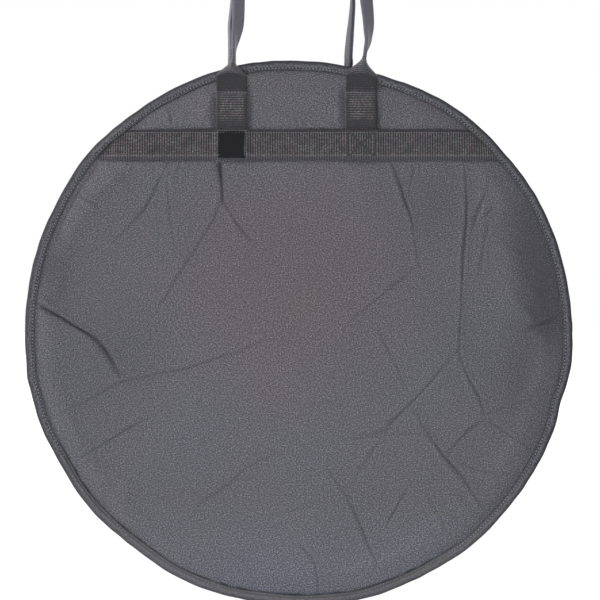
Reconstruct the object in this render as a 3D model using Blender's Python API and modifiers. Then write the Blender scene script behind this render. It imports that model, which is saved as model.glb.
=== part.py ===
"""A round padded bag for a flat gong, hanging by its two webbing handles.

The front faces -Y and +Z is up. The origin is the point where a hook holds both handles.
Two padded discs are bound at the edge. A zip joins them over the top, a gusset joins them below,
and the upper half of the front disc is a flap that folds down at its crease.
Distances from the middle plane of the bag are called levels. All sizes are in metres.
"""

import math

import bmesh
import bpy
from mathutils import Matrix, Vector

# Driving sizes of the disc
BAG_RADIUS = 0.274
GRIP_HEIGHT = 0.157
DISC_OFFSET = 0.002
GUSSET_WIDTH = 0.020
SEAT_GAP = 0.0003

# Panels, from the inside out
LINING_THICKNESS = 0.0008
PADDING_THICKNESS = 0.005
COVER_THICKNESS = 0.0012
CROWN_HEIGHT = 0.0018
FLAT_RADIUS = 0.150
EDGE_ROLL = 0.010
CROWN_STEPS = 2
ROLL_STEPS = 3

# Edge binding and the gusset flange that it wraps
BINDING_WIDTH = 0.0095
BINDING_THICKNESS = 0.0012
BINDING_ROUND = 0.0008
GUSSET_THICKNESS = 0.001
BAND_INSET = 0.001
COVER_EDGE_INSET = 0.0015
EDGE_CLEARANCE = 0.0005

# Fold of the flap and the ends of the zip
FOLD_HEIGHT = 0.012
FOLD_GAP = 0.0006
FOLD_AXIS_CLEARANCE = 0.0006
ZIP_END_DEPTH = 0.016

# Zip chain
TAPE_THICKNESS = 0.0008
TOOTH_PITCH = 0.005
TOOTH_HEIGHT = 0.003
TOOTH_REACH = 0.002
CORD_WIDTH = 0.0015
CHAIN_GAP = 0.0016
STOP_LENGTH = 0.003
STOP_WIDTH = 0.010
STOP_THICKNESS = 0.0016

# Zip slider and its pull
SLIDER_LENGTH = 0.015
SLIDER_WIDTH = 0.012
SLIDER_TAIL_WIDTH = 0.009
SLIDER_PLATE = 0.0013
SLIDER_CLEARANCE = 0.0004
SLIDER_PARK_DEPTH = 0.0015
WEDGE_THICKNESS = 0.0008
WEDGE_LENGTH = 0.005
BRIDGE_WIDTH = 0.003
BRIDGE_BAR = 0.0013
BRIDGE_OPENING = 0.0066
BRIDGE_CLEARANCE = 0.0026
PULL_LENGTH = 0.026
PULL_WIDTH = 0.008
PULL_THICKNESS = 0.0012
PULL_BAR = 0.0016
EYE_LENGTH = 0.0077
EYE_WIDTH = 0.0048
EYE_ROUND = 0.001

# Webbing sewn on both faces
WEBBING_WIDTH = 0.030
WEBBING_THICKNESS = 0.0016
CROSS_STRAP_INSET = 0.0875
STITCH_ROW_INSET = 0.035
STRAP_END_INSET = 0.0015
STRAP_RAMP = 0.007
FRONT_LEGS = (-0.0665, 0.0625)
BACK_LEGS = (-0.0685, 0.0515)
LABEL_THICKNESS = 0.0006

# Handles, folded lengthwise above the rim
FOLDED_WIDTH = 0.015
FOLDED_THICKNESS = 0.0036
STRAP_LEAN = 0.002
BELL_HEIGHT = 0.011
RIM_CLEARANCE = 0.004
ARCH_HEIGHT = 0.060
GRIP_LEVEL = 0.009
TWIST_HEIGHT = 0.054
TWIST = math.radians(75)
FRONT_NECKS = (-0.0655, 0.0665)
BACK_NECKS = (-0.0685, 0.0510)
HANDLE_AXIS_CLEARANCE = 0.0004

# Counts of facets
SEGMENTS = 60
ARCH_STEPS = 12
TWIST_STEPS = 8
EYE_STEPS = 4
PULL_END_STEPS = 8

# Room that a cutter reaches past what it cuts
OVERRUN = 0.050

# Levels of the layers, out from the middle plane
GUSSET_OUTER = GUSSET_WIDTH / 2
GUSSET_INNER = GUSSET_OUTER - GUSSET_THICKNESS
LINING_INNER = GUSSET_INNER
LINING_OUTER = LINING_INNER + LINING_THICKNESS
PADDING_INNER = LINING_OUTER + SEAT_GAP
PLATEAU_LEVEL = PADDING_INNER + PADDING_THICKNESS + SEAT_GAP + COVER_THICKNESS
CROWN_LEVEL = PLATEAU_LEVEL + CROWN_HEIGHT
COVER_EDGE_INNER = GUSSET_OUTER + SEAT_GAP
COVER_EDGE_OUTER = COVER_EDGE_INNER + COVER_THICKNESS
BINDING_OUTER_SEAT = COVER_EDGE_OUTER + SEAT_GAP
BINDING_OUTER = BINDING_OUTER_SEAT + BINDING_THICKNESS
BINDING_INNER_SEAT = GUSSET_INNER - SEAT_GAP
BINDING_INNER = BINDING_INNER_SEAT - BINDING_THICKNESS

# Radii of the layers, in from the edge
BINDING_RADIUS = BAG_RADIUS - BINDING_WIDTH
COVER_RADIUS = BAG_RADIUS - COVER_EDGE_INSET
ROLL_RADIUS = BINDING_RADIUS - EDGE_ROLL
PADDING_RADIUS = ROLL_RADIUS - EDGE_CLEARANCE
BAND_RADIUS = BINDING_RADIUS - BAND_INSET
LINING_RADIUS = BAND_RADIUS - GUSSET_THICKNESS - EDGE_CLEARANCE
CHAIN_RADIUS = BAND_RADIUS - GUSSET_THICKNESS / 2
STRAP_END_RADIUS = BINDING_RADIUS - STRAP_END_INSET

# Places
HOOK_HEIGHT = BAG_RADIUS + GRIP_HEIGHT
CROSS_STRAP_HEIGHT = BAG_RADIUS - CROSS_STRAP_INSET
STITCH_ROW_HEIGHT = BAG_RADIUS - STITCH_ROW_INSET
DISC_CENTRE = Vector((DISC_OFFSET, 0, -HOOK_HEIGHT))
FRONT = -1
BACK = 1
TAPE_EDGE = CHAIN_GAP / 2 + TOOTH_REACH + CORD_WIDTH + SEAT_GAP
FOLD_AXIS_LEVEL = CROWN_LEVEL + FOLD_AXIS_CLEARANCE
SLIDER_ANGLE = -math.asin(SLIDER_PARK_DEPTH / CHAIN_RADIUS)


def material(name, colour, roughness, metallic=0.0):
    """A plain finish in the colour that the piece has."""
    made = bpy.data.materials.new(name)
    made.use_nodes = True
    shader = made.node_tree.nodes["Principled BSDF"]
    shader.inputs["Base Color"].default_value = (*colour, 1.0)
    shader.inputs["Roughness"].default_value = roughness
    shader.inputs["Metallic"].default_value = metallic
    made.diffuse_color = (*colour, 1.0)
    return made


def on_disc(x, level, height):
    """A point given from the centre of the disc, with its signed level along Y."""
    return DISC_CENTRE + Vector((x, level, height))


def ease(value):
    """Smooth step from 0 to 1."""
    held = min(1.0, max(0.0, value))
    return held * held * (3 - 2 * held)


def face_level(radius):
    """Level of a cover's outer face: flat in the middle, crowned, and rolled down to the binding."""
    if radius <= FLAT_RADIUS:
        return CROWN_LEVEL
    if radius <= ROLL_RADIUS:
        run = (radius - FLAT_RADIUS) / (ROLL_RADIUS - FLAT_RADIUS)
        return CROWN_LEVEL - CROWN_HEIGHT * run**2
    if radius >= BINDING_RADIUS:
        return COVER_EDGE_OUTER
    run = (radius - ROLL_RADIUS) / EDGE_ROLL
    return PLATEAU_LEVEL - (PLATEAU_LEVEL - COVER_EDGE_OUTER) * ease(run)


def panel_radii(last):
    """Radii of the rings that carry the panel's form, out to a last one."""
    crown = [FLAT_RADIUS + (ROLL_RADIUS - FLAT_RADIUS) * i / CROWN_STEPS for i in range(CROWN_STEPS + 1)]
    roll = [ROLL_RADIUS + EDGE_ROLL * i / ROLL_STEPS for i in range(1, ROLL_STEPS + 1)]
    inside = [radius for radius in crown + roll if radius < last]
    return inside + [last]


def cover_level(radius):
    """Level of the cover's face between its rings, where it runs straight."""
    radii = [0] + panel_radii(COVER_RADIUS)
    for inside, outside in zip(radii, radii[1:]):
        if radius <= outside:
            run = (radius - inside) / (outside - inside)
            return face_level(inside) + (face_level(outside) - face_level(inside)) * run
    return COVER_EDGE_OUTER


class Bag:
    """Holds the collections, the pivots and the finishes that the pieces share."""

    def __init__(self):
        self.parts = bpy.data.collections.new("gong_bag")
        self.tools = bpy.data.collections.new("gong_bag_cutters")
        bpy.context.scene.collection.children.link(self.parts)
        bpy.context.scene.collection.children.link(self.tools)
        self.cover = material("cover_cloth", (0.120, 0.113, 0.125), 0.85)
        self.padding = material("foam_padding", (0.230, 0.230, 0.220), 0.95)
        self.lining = material("lining_cloth", (0.030, 0.030, 0.032), 0.80)
        self.binding = material("binding_tape", (0.075, 0.074, 0.082), 0.80)
        self.webbing = material("webbing", (0.070, 0.065, 0.068), 0.75)
        self.tape = material("zip_tape", (0.035, 0.035, 0.038), 0.85)
        self.teeth = material("zip_teeth", (0.020, 0.020, 0.022), 0.45)
        self.metal = material("slider_metal", (0.100, 0.100, 0.105), 0.35, 0.9)
        self.label = material("label_satin", (0.018, 0.018, 0.020), 0.45)

    def place(self, name, data, finish, pivot=None):
        """Links a piece whose geometry is in world places, under its pivot."""
        piece = bpy.data.objects.new(name, data)
        piece.data.materials.append(finish)
        self.parts.objects.link(piece)
        if pivot:
            self.hang(piece, pivot)
        return piece

    def hang(self, piece, pivot):
        """Parents a piece to a pivot and leaves it where it is."""
        piece.parent = pivot
        piece.matrix_parent_inverse = self.pivot_places[pivot.name].inverted()

    def make_pivots(self):
        """One empty on the axis of each joint, chained as the joints are."""
        self.pivot_places = {}
        pull_axis = slider_pull_axis()
        turned = Matrix.Rotation(-SLIDER_ANGLE, 4, "Y")
        pull_place = DISC_CENTRE + turned @ pull_axis
        self.fold = self.pivot("flap_fold", on_disc(0, -FOLD_AXIS_LEVEL, FOLD_HEIGHT))
        self.front_hinge = self.pivot("front_handle_hinge", handle_axis(FRONT), self.fold)
        self.back_hinge = self.pivot("back_handle_hinge", handle_axis(BACK))
        self.slide = self.pivot("zip_slider_centre", DISC_CENTRE)
        self.pull = self.pivot("zip_pull_bar", pull_place, self.slide)

    def pivot(self, name, place, parent=None):
        empty = bpy.data.objects.new(name, None)
        empty.empty_display_size = WEBBING_WIDTH
        empty.location = place
        self.parts.objects.link(empty)
        self.pivot_places[name] = Matrix.Translation(place)
        if parent:
            self.hang(empty, parent)
        return empty

    def cutter(self, name, low, high):
        """A box between two corners, given from the centre of the disc."""
        box = bpy.data.objects.new(name, box_mesh(name, low, high))
        box.hide_render = True
        box.display_type = "WIRE"
        self.tools.objects.link(box)
        return box


def box_mesh(name, low, high):
    """A cube between two corners that are given from the centre of the disc."""
    low = on_disc(*low)
    high = on_disc(*high)
    mesh = bpy.data.meshes.new(name)
    shape = bmesh.new()
    bmesh.ops.create_cube(shape, size=1.0)
    bmesh.ops.scale(shape, vec=high - low, verts=shape.verts)
    bmesh.ops.translate(shape, vec=(low + high) / 2, verts=shape.verts)
    shape.to_mesh(mesh)
    shape.free()
    return mesh


def combine(piece, tool, operation):
    """Cuts or joins a piece with a tool by an exact Boolean."""
    change = piece.modifiers.new(tool.name, "BOOLEAN")
    change.operation = operation
    change.solver = "EXACT"
    change.object = tool


def turned(bag, name, profile, side, finish, closed, pivot=None):
    """Turns a profile of (radius, level) points about the axis of the disc, on one side of it."""
    mesh = bpy.data.meshes.new(name)
    ends = len(profile) if closed else len(profile) - 1
    edges = [(i, (i + 1) % len(profile)) for i in range(ends)]
    mesh.from_pydata([(radius, 0, level) for radius, level in profile], edges, [])
    piece = bag.place(name, mesh, finish)
    piece.location = DISC_CENTRE
    piece.rotation_euler = (-side * math.pi / 2, 0, 0)
    screw = piece.modifiers.new("turn", "SCREW")
    screw.axis = "Z"
    screw.angle = math.tau
    screw.steps = SEGMENTS
    screw.render_steps = SEGMENTS
    screw.use_merge_vertices = True
    screw.merge_threshold = 0.00001
    screw.use_smooth_shade = True
    if pivot:
        bag.hang(piece, pivot)
    return piece


def cover_profile():
    """Outer cloth of a panel, from the axis out over the face and back along the inside."""
    radii = panel_radii(COVER_RADIUS)
    outside = [(0, CROWN_LEVEL)] + [(radius, face_level(radius)) for radius in radii]
    return outside + [(radius, level - COVER_THICKNESS) for radius, level in reversed(outside)]


def padding_profile():
    """Foam that fills the panel between its lining and its cover."""
    under = COVER_THICKNESS + SEAT_GAP
    radii = panel_radii(PADDING_RADIUS)
    outside = [(0, CROWN_LEVEL - under)] + [(radius, face_level(radius) - under) for radius in radii]
    return outside + [(PADDING_RADIUS, PADDING_INNER), (0, PADDING_INNER)]


def lining_profile():
    """Flat inner cloth that the gong lies against."""
    outside = [(0, LINING_OUTER), (LINING_RADIUS, LINING_OUTER)]
    return outside + [(LINING_RADIUS, LINING_INNER), (0, LINING_INNER)]


def binding_profile():
    """Folded tape round the edge, with one leg on the cover and one inside the gusset's flange."""
    web = BAG_RADIUS - BINDING_THICKNESS
    return [
        (BINDING_RADIUS, BINDING_OUTER_SEAT),
        (BINDING_RADIUS, BINDING_OUTER),
        (BAG_RADIUS - BINDING_ROUND, BINDING_OUTER),
        (BAG_RADIUS, BINDING_OUTER - BINDING_ROUND),
        (BAG_RADIUS, BINDING_INNER + BINDING_ROUND),
        (BAG_RADIUS - BINDING_ROUND, BINDING_INNER),
        (BINDING_RADIUS, BINDING_INNER),
        (BINDING_RADIUS, BINDING_INNER_SEAT),
        (web, BINDING_INNER_SEAT),
        (web, BINDING_OUTER_SEAT),
    ]


def gusset_profile():
    """Channel of cloth whose flanges turn outwards into both bindings."""
    inner = BAND_RADIUS - GUSSET_THICKNESS
    flange = COVER_RADIUS
    return [
        (inner, GUSSET_OUTER),
        (flange, GUSSET_OUTER),
        (flange, GUSSET_INNER),
        (BAND_RADIUS, GUSSET_INNER),
        (BAND_RADIUS, -GUSSET_INNER),
        (flange, -GUSSET_INNER),
        (flange, -GUSSET_OUTER),
        (inner, -GUSSET_OUTER),
    ]


def tape_profile():
    """Half of the zip's tape, whose outer flange turns into the binding."""
    inner = CHAIN_RADIUS - TAPE_THICKNESS / 2
    outer = CHAIN_RADIUS + TAPE_THICKNESS / 2
    return [
        (inner, GUSSET_OUTER),
        (COVER_RADIUS, GUSSET_OUTER),
        (COVER_RADIUS, GUSSET_INNER),
        (outer, GUSSET_INNER),
        (outer, TAPE_EDGE),
        (inner, TAPE_EDGE),
    ]


def make_cutters(bag):
    """Boxes that keep part of a ring: above or below the fold or the ends of the zip, right or left."""
    reach = BAG_RADIUS + OVERRUN
    above_fold = FOLD_HEIGHT + FOLD_GAP / 2
    below_fold = FOLD_HEIGHT - FOLD_GAP / 2
    gusset_top = -ZIP_END_DEPTH - SEAT_GAP
    kept = {
        "above_fold": (-reach, reach, above_fold, reach),
        "below_fold": (-reach, reach, -reach, below_fold),
        "below_zip_end": (-reach, reach, -reach, gusset_top),
        "right_tail": (0, reach, -ZIP_END_DEPTH, below_fold),
        "left_tail": (-reach, 0, -ZIP_END_DEPTH, below_fold),
        "right_flap": (SEAT_GAP / 2, reach, above_fold, reach),
        "left_flap": (-reach, -SEAT_GAP / 2, above_fold, reach),
        "right_back": (SEAT_GAP / 2, reach, -ZIP_END_DEPTH, reach),
        "left_back": (-reach, -SEAT_GAP / 2, -ZIP_END_DEPTH, reach),
    }
    return {
        name: bag.cutter(name, (left, -reach, low), (right, reach, high))
        for name, (left, right, low, high) in kept.items()
    }


def make_panels(bag, cutters):
    """Back panel whole, and the front panel in two halves that meet at the fold."""
    layers = {
        "cover": (cover_profile(), bag.cover),
        "padding": (padding_profile(), bag.padding),
        "lining": (lining_profile(), bag.lining),
    }
    for layer, (profile, finish) in layers.items():
        turned(bag, f"back_{layer}", profile, BACK, finish, closed=False)
        lower = turned(bag, f"lower_front_{layer}", profile, FRONT, finish, closed=False)
        combine(lower, cutters["below_fold"], "INTERSECT")
        upper = turned(bag, f"flap_{layer}", profile, FRONT, finish, closed=False, pivot=bag.fold)
        combine(upper, cutters["above_fold"], "INTERSECT")


def make_edges(bag, cutters):
    """Bindings of both panels, the gusset below and the two zip tapes above.

    Each tape is in two halves that meet at the top, so that simple hulls follow its ring.
    """
    turned(bag, "back_binding", binding_profile(), BACK, bag.binding, closed=True)
    lower = turned(bag, "lower_front_binding", binding_profile(), FRONT, bag.binding, closed=True)
    combine(lower, cutters["below_fold"], "INTERSECT")
    upper = turned(bag, "flap_binding", binding_profile(), FRONT, bag.binding, closed=True, pivot=bag.fold)
    combine(upper, cutters["above_fold"], "INTERSECT")
    gusset = turned(bag, "gusset", gusset_profile(), BACK, bag.cover, closed=True)
    combine(gusset, cutters["below_zip_end"], "INTERSECT")
    for hand in ("right", "left"):
        back = turned(bag, f"{hand}_back_tape", tape_profile(), BACK, bag.tape, closed=True)
        combine(back, cutters[f"{hand}_back"], "INTERSECT")
        front = turned(bag, f"{hand}_flap_tape", tape_profile(), FRONT, bag.tape, closed=True, pivot=bag.fold)
        combine(front, cutters[f"{hand}_flap"], "INTERSECT")
        tail = turned(bag, f"{hand}_zip_tail", tape_profile(), FRONT, bag.tape, closed=True)
        combine(tail, cutters[f"{hand}_tail"], "INTERSECT")


def toothed_arc(bag, name, side, start, end, pivot=None):
    """Cord of the zip with its teeth, as a rack that follows the rim from one angle to another."""
    teeth = max(1, round(CHAIN_RADIUS * (end - start) / TOOTH_PITCH))
    root = CHAIN_GAP / 2 + TOOTH_REACH
    cord = root + CORD_WIDTH
    low = CHAIN_RADIUS - TOOTH_HEIGHT / 2
    high = CHAIN_RADIUS + TOOTH_HEIGHT / 2
    shape = bmesh.new()
    rings = []
    for i in range(2 * teeth + 1):
        angle = start + (end - start) * i / (2 * teeth)
        tip = CHAIN_GAP / 2 if i % 2 else root
        section = ((low, tip), (high, tip), (high, cord), (low, cord))
        places = [on_disc(r * math.cos(angle), side * level, r * math.sin(angle)) for r, level in section]
        rings.append([shape.verts.new(place) for place in places])
    skin(shape, rings)
    return bag.place(name, finished_mesh(name, shape), bag.teeth, pivot)


def skin(shape, rings):
    """Joins rings of points into a closed tube with flat ends."""
    for first, second in zip(rings, rings[1:]):
        for i in range(len(first)):
            j = (i + 1) % len(first)
            shape.faces.new((first[i], first[j], second[j], second[i]))
    shape.faces.new(rings[0])
    shape.faces.new(rings[-1])
    bmesh.ops.recalc_face_normals(shape, faces=shape.faces)


def finished_mesh(name, shape):
    mesh = bpy.data.meshes.new(name)
    shape.to_mesh(mesh)
    shape.free()
    return mesh


def chain_angle(height):
    """Angle from +X at which the chain passes a height above the centre of the disc."""
    return math.asin(height / CHAIN_RADIUS)


def make_chain(bag):
    """Teeth of the back tape, of the flap and of the front tape's two tails below the fold."""
    stop_room = STOP_LENGTH + 2 * SEAT_GAP
    bottom = chain_angle(-ZIP_END_DEPTH + stop_room)
    above = chain_angle(FOLD_HEIGHT + FOLD_GAP / 2)
    below = chain_angle(FOLD_HEIGHT - FOLD_GAP / 2)
    toothed_arc(bag, "back_zip_teeth", BACK, bottom, math.pi - bottom)
    toothed_arc(bag, "flap_zip_teeth", FRONT, above, math.pi - above, bag.fold)
    toothed_arc(bag, "right_tail_teeth", FRONT, bottom, below)
    toothed_arc(bag, "left_tail_teeth", FRONT, math.pi - below, math.pi - bottom)
    low = CHAIN_RADIUS + TAPE_THICKNESS / 2 + SEAT_GAP
    foot = -ZIP_END_DEPTH + SEAT_GAP
    for name, hand in (("right_zip_stop", 1), ("left_zip_stop", -1)):
        ends = sorted((hand * low, hand * (low + STOP_THICKNESS)))
        corner = (ends[0], -STOP_WIDTH / 2, foot)
        far = (ends[1], STOP_WIDTH / 2, foot + STOP_LENGTH)
        bag.place(name, box_mesh(name, corner, far), bag.metal)


def slider_levels():
    """Radii of the slider: inner plate, outer plate and the top of its bridge."""
    inner_top = CHAIN_RADIUS - TOOTH_HEIGHT / 2 - SLIDER_CLEARANCE
    outer_foot = CHAIN_RADIUS + TOOTH_HEIGHT / 2 + SLIDER_CLEARANCE
    outer_top = outer_foot + SLIDER_PLATE
    bridge_top = outer_top + BRIDGE_CLEARANCE + BRIDGE_BAR
    return inner_top, outer_foot, outer_top, bridge_top


def slider_pull_axis():
    """Axis of the pull's bar under the bridge, with the slider at angle zero."""
    outer_top = slider_levels()[2]
    bar_reach = math.hypot(PULL_BAR, PULL_THICKNESS) / 2 + SEAT_GAP
    return Vector((outer_top + BRIDGE_CLEARANCE / 2, 0, -BRIDGE_OPENING / 2 + bar_reach))


def tapered_plate(name, low, high):
    """A slider plate, wide at the nose below and narrow at the tail above."""
    half = SLIDER_LENGTH / 2
    mesh = box_mesh(name, (low, -SLIDER_WIDTH / 2, -half), (high, SLIDER_WIDTH / 2, half))
    for vertex in mesh.vertices:
        if vertex.co.z > DISC_CENTRE.z:
            vertex.co.y *= SLIDER_TAIL_WIDTH / SLIDER_WIDTH
    return mesh


def make_slider(bag):
    """Two plates round the chain, joined by the wedge between the teeth, and the bridge for the pull."""
    inner_top, outer_foot, outer_top, bridge_top = slider_levels()
    nose = -SLIDER_LENGTH / 2
    bridge_half = BRIDGE_OPENING / 2 + BRIDGE_BAR
    sunk = SLIDER_PLATE / 2
    turn = Matrix.Translation(DISC_CENTRE) @ Matrix.Rotation(-SLIDER_ANGLE, 4, "Y")
    turn = turn @ Matrix.Translation(-DISC_CENTRE)
    body = bag.place("slider_body", tapered_plate("slider_body", outer_foot, outer_top), bag.metal)
    inner = tapered_plate("inner_plate", inner_top - SLIDER_PLATE, inner_top)
    wedge_low = (inner_top - sunk, -WEDGE_THICKNESS / 2, nose + SEAT_GAP)
    wedge_high = (outer_foot + sunk, WEDGE_THICKNESS / 2, nose + WEDGE_LENGTH)
    bridge_low = (outer_top - sunk, -BRIDGE_WIDTH / 2, -bridge_half)
    bridge_high = (bridge_top, BRIDGE_WIDTH / 2, bridge_half)
    gap_low = (outer_top, -BRIDGE_WIDTH, -BRIDGE_OPENING / 2)
    gap_high = (outer_top + BRIDGE_CLEARANCE, BRIDGE_WIDTH, BRIDGE_OPENING / 2)
    bridge = bag.cutter("slider_bridge", bridge_low, bridge_high)
    gap = bag.cutter("slider_bridge_gap", gap_low, gap_high)
    wedge = bag.cutter("slider_wedge", wedge_low, wedge_high)
    plate = bpy.data.objects.new("slider_inner_plate", inner)
    plate.hide_render = True
    plate.display_type = "WIRE"
    bag.tools.objects.link(plate)
    combine(bridge, gap, "DIFFERENCE")
    for tool in (bridge, wedge, plate):
        combine(body, tool, "UNION")
    for piece in (body, bridge, gap, wedge, plate):
        piece.matrix_world = turn
    bag.hang(body, bag.slide)


def arc_points(centre, radius, start, end, steps):
    """Points along a round stretch of a flat outline."""
    angles = [start + (end - start) * i / steps for i in range(steps + 1)]
    return [(centre[0] + radius * math.cos(a), centre[1] + radius * math.sin(a)) for a in angles]


def add_outline(curve, points):
    spline = curve.splines.new("POLY")
    spline.points.add(len(points) - 1)
    for target, (across, along) in zip(spline.points, points):
        target.co = (across, along, 0, 1)
    spline.use_cyclic_u = True


def make_pull(bag):
    """Flat tag that hangs from its bar, with an eye that clears the slider's bridge."""
    curve = bpy.data.curves.new("pull_tab", "CURVE")
    curve.dimensions = "2D"
    curve.fill_mode = "BOTH"
    curve.extrude = PULL_THICKNESS / 2
    half = PULL_WIDTH / 2
    top = -PULL_BAR / 2
    corner = top + EYE_ROUND
    far = PULL_LENGTH - half
    quarter = math.pi / 2
    outline = arc_points((half - EYE_ROUND, corner), EYE_ROUND, -quarter, 0, EYE_STEPS)
    outline += arc_points((0, far), half, 0, math.pi, PULL_END_STEPS)
    outline += arc_points((EYE_ROUND - half, corner), EYE_ROUND, math.pi, 3 * quarter, EYE_STEPS)
    add_outline(curve, outline)
    eye_half = EYE_WIDTH / 2
    eye_top = PULL_BAR / 2
    eye_far = eye_top + EYE_LENGTH - eye_half
    eye = [(-eye_half, eye_top), (eye_half, eye_top)]
    eye += arc_points((0, eye_far), eye_half, 0, math.pi, PULL_END_STEPS)
    add_outline(curve, eye)
    tab = bag.place("pull_tab", curve, bag.metal)
    flat = Matrix(((0, 0, -1, 0), (1, 0, 0, 0), (0, -1, 0, 0), (0, 0, 0, 1)))
    turn = Matrix.Rotation(-SLIDER_ANGLE, 4, "Y")
    upright = Matrix.Translation(DISC_CENTRE + turn @ slider_pull_axis())
    tab.matrix_world = upright @ flat
    bag.hang(tab, bag.pull)


def strip(bag, name, columns, rows, rise, thickness, finish, pivot=None):
    """A band on a face: a grid whose columns and rows give its places, thickened outwards.

    columns takes a row's height and gives its places across, and rise gives the height of the
    band's inner side over the cover at a place.
    """
    side, heights = rows
    across = len(columns(heights[0]))
    shape = bmesh.new()
    bmesh.ops.create_grid(shape, x_segments=across - 1, y_segments=len(heights) - 1, size=1.0)
    shape.verts.ensure_lookup_table()
    for index, vertex in enumerate(shape.verts):
        row, column = divmod(index, across)
        height = heights[row]
        x = columns(height)[column]
        level = cover_level(math.hypot(x, height)) + rise(x)
        vertex.co = on_disc(x, side * level, height)
    bmesh.ops.recalc_face_normals(shape, faces=shape.faces)
    outward = sum(face.normal.y for face in shape.faces) * side
    if outward < 0:
        bmesh.ops.reverse_faces(shape, faces=shape.faces)
    band = bag.place(name, finished_mesh(name, shape), finish, pivot)
    thick = band.modifiers.new("thickness", "SOLIDIFY")
    thick.thickness = thickness
    thick.offset = 1.0
    return band


def on_cover(x):
    """Height over the cover of what is sewn straight onto it."""
    return SEAT_GAP


def over_legs(legs):
    """Height of the cross strap over the cover, which climbs over the two legs under it."""
    climb = WEBBING_THICKNESS + SEAT_GAP

    def rise(x):
        outside = min(abs(x - leg) for leg in legs) - WEBBING_WIDTH / 2
        share = min(1.0, max(0.0, 1.0 - outside / STRAP_RAMP))
        return SEAT_GAP + climb * share

    return rise


def cross_columns(legs):
    """Places across the cross strap: at the ramps beside the legs, and at the roll of the edge."""
    half = WEBBING_WIDTH / 2
    middle = [0.0]
    for leg in legs:
        for offset in (half, half + STRAP_RAMP):
            middle += [leg - offset, leg + offset]
    middle.sort()
    ends = panel_radii(STRAP_END_RADIUS)
    rolled = [radius for radius in ends if radius >= ROLL_RADIUS]

    def columns(height):
        tips = [math.sqrt(radius**2 - height**2) for radius in rolled]
        left = [-tip for tip in reversed(tips)] + [(middle[0] - tips[0]) / 2]
        return left + middle + [(middle[-1] + tips[0]) / 2] + tips

    return columns


def make_straps(bag, side, legs, prefix, pivot):
    """Cross strap and the two sewn legs on one face."""
    half = WEBBING_WIDTH / 2
    low = CROSS_STRAP_HEIGHT - half
    high = CROSS_STRAP_HEIGHT + half
    rows = (side, [low, CROSS_STRAP_HEIGHT, high])
    cross = f"{prefix}_cross_strap"
    strip(bag, cross, cross_columns(legs), rows, over_legs(legs), WEBBING_THICKNESS, bag.webbing, pivot)
    middle = (high + STITCH_ROW_HEIGHT) / 2
    rows = (side, [low + SEAT_GAP, CROSS_STRAP_HEIGHT, high, middle, STITCH_ROW_HEIGHT])
    for hand, leg in zip(("left", "right"), legs):
        places = [leg - half, leg, leg + half]

        def columns(height, places=places):
            return places

        name = f"{prefix}_{hand}_leg"
        strip(bag, name, columns, rows, on_cover, WEBBING_THICKNESS, bag.webbing, pivot)


def make_label(bag):
    """Bare satin patch sewn on the cross strap over the left leg."""
    leg = FRONT_LEGS[0]
    half = WEBBING_WIDTH / 2
    climbed = over_legs(FRONT_LEGS)
    rows = (FRONT, [CROSS_STRAP_HEIGHT - half, CROSS_STRAP_HEIGHT, CROSS_STRAP_HEIGHT + half])

    def columns(height):
        return [leg - half, leg, leg + half]

    def rise(x):
        return climbed(x) + WEBBING_THICKNESS + SEAT_GAP

    strip(bag, "label", columns, rows, rise, LABEL_THICKNESS, bag.label, bag.fold)


def strap_level():
    """Level of the middle of the webbing where a handle leaves its last stitch row."""
    radius = math.hypot(FRONT_LEGS[1], STITCH_ROW_HEIGHT)
    return cover_level(radius) + SEAT_GAP + WEBBING_THICKNESS / 2


def handle_axis(side):
    """Where a handle bends at its last stitch row, just outside the webbing."""
    level = strap_level() + WEBBING_THICKNESS / 2 + HANDLE_AXIS_CLEARANCE
    return on_disc(-DISC_OFFSET, side * level, STITCH_ROW_HEIGHT)


def handle_climb(leg, neck, spring, spring_height):
    """Stations of one side of a handle, from its stitch row up to where the arch springs.

    A station is (across, level, height, extent across, extent in depth, twist). The webbing is flat
    up to the rim, folds in half over the bell, and turns on its way up to the arch.
    """
    base = strap_level()
    rim = math.sqrt(BAG_RADIUS**2 - (abs(neck) - WEBBING_WIDTH / 2) ** 2)
    bell = rim + RIM_CLEARANCE - BELL_HEIGHT / 2
    neck_height = rim + RIM_CLEARANCE + BELL_HEIGHT / 2
    start = STITCH_ROW_HEIGHT + FOLD_GAP
    out = base + STRAP_LEAN
    ridge = out + WEBBING_THICKNESS / 2
    neck_level = ridge - FOLDED_WIDTH / 2
    middle_level = ridge - FOLDED_WIDTH / 4
    stations = [
        (leg, base, start, WEBBING_WIDTH, WEBBING_THICKNESS, 0),
        (leg, out, (start + bell) / 2, WEBBING_WIDTH, WEBBING_THICKNESS, 0),
        (leg, out, bell, WEBBING_WIDTH, WEBBING_THICKNESS, 0),
        ((leg + neck) / 2, middle_level, (bell + neck_height) / 2, FOLDED_WIDTH, FOLDED_WIDTH / 2, 0),
    ]
    for i in range(TWIST_STEPS + 1):
        run = i / TWIST_STEPS
        height = neck_height + (spring_height - neck_height) * run
        rising = (height - neck_height) / TWIST_HEIGHT
        falling = (spring_height - height) / (spring_height - neck_height - TWIST_HEIGHT)
        twist = TWIST * ease(rising) * ease(falling)
        level = neck_level + (GRIP_LEVEL - neck_level) * run
        across = neck + (spring - neck) * ease(run)
        stations.append((across, level, height, FOLDED_THICKNESS, FOLDED_WIDTH, twist))
    return stations


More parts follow.
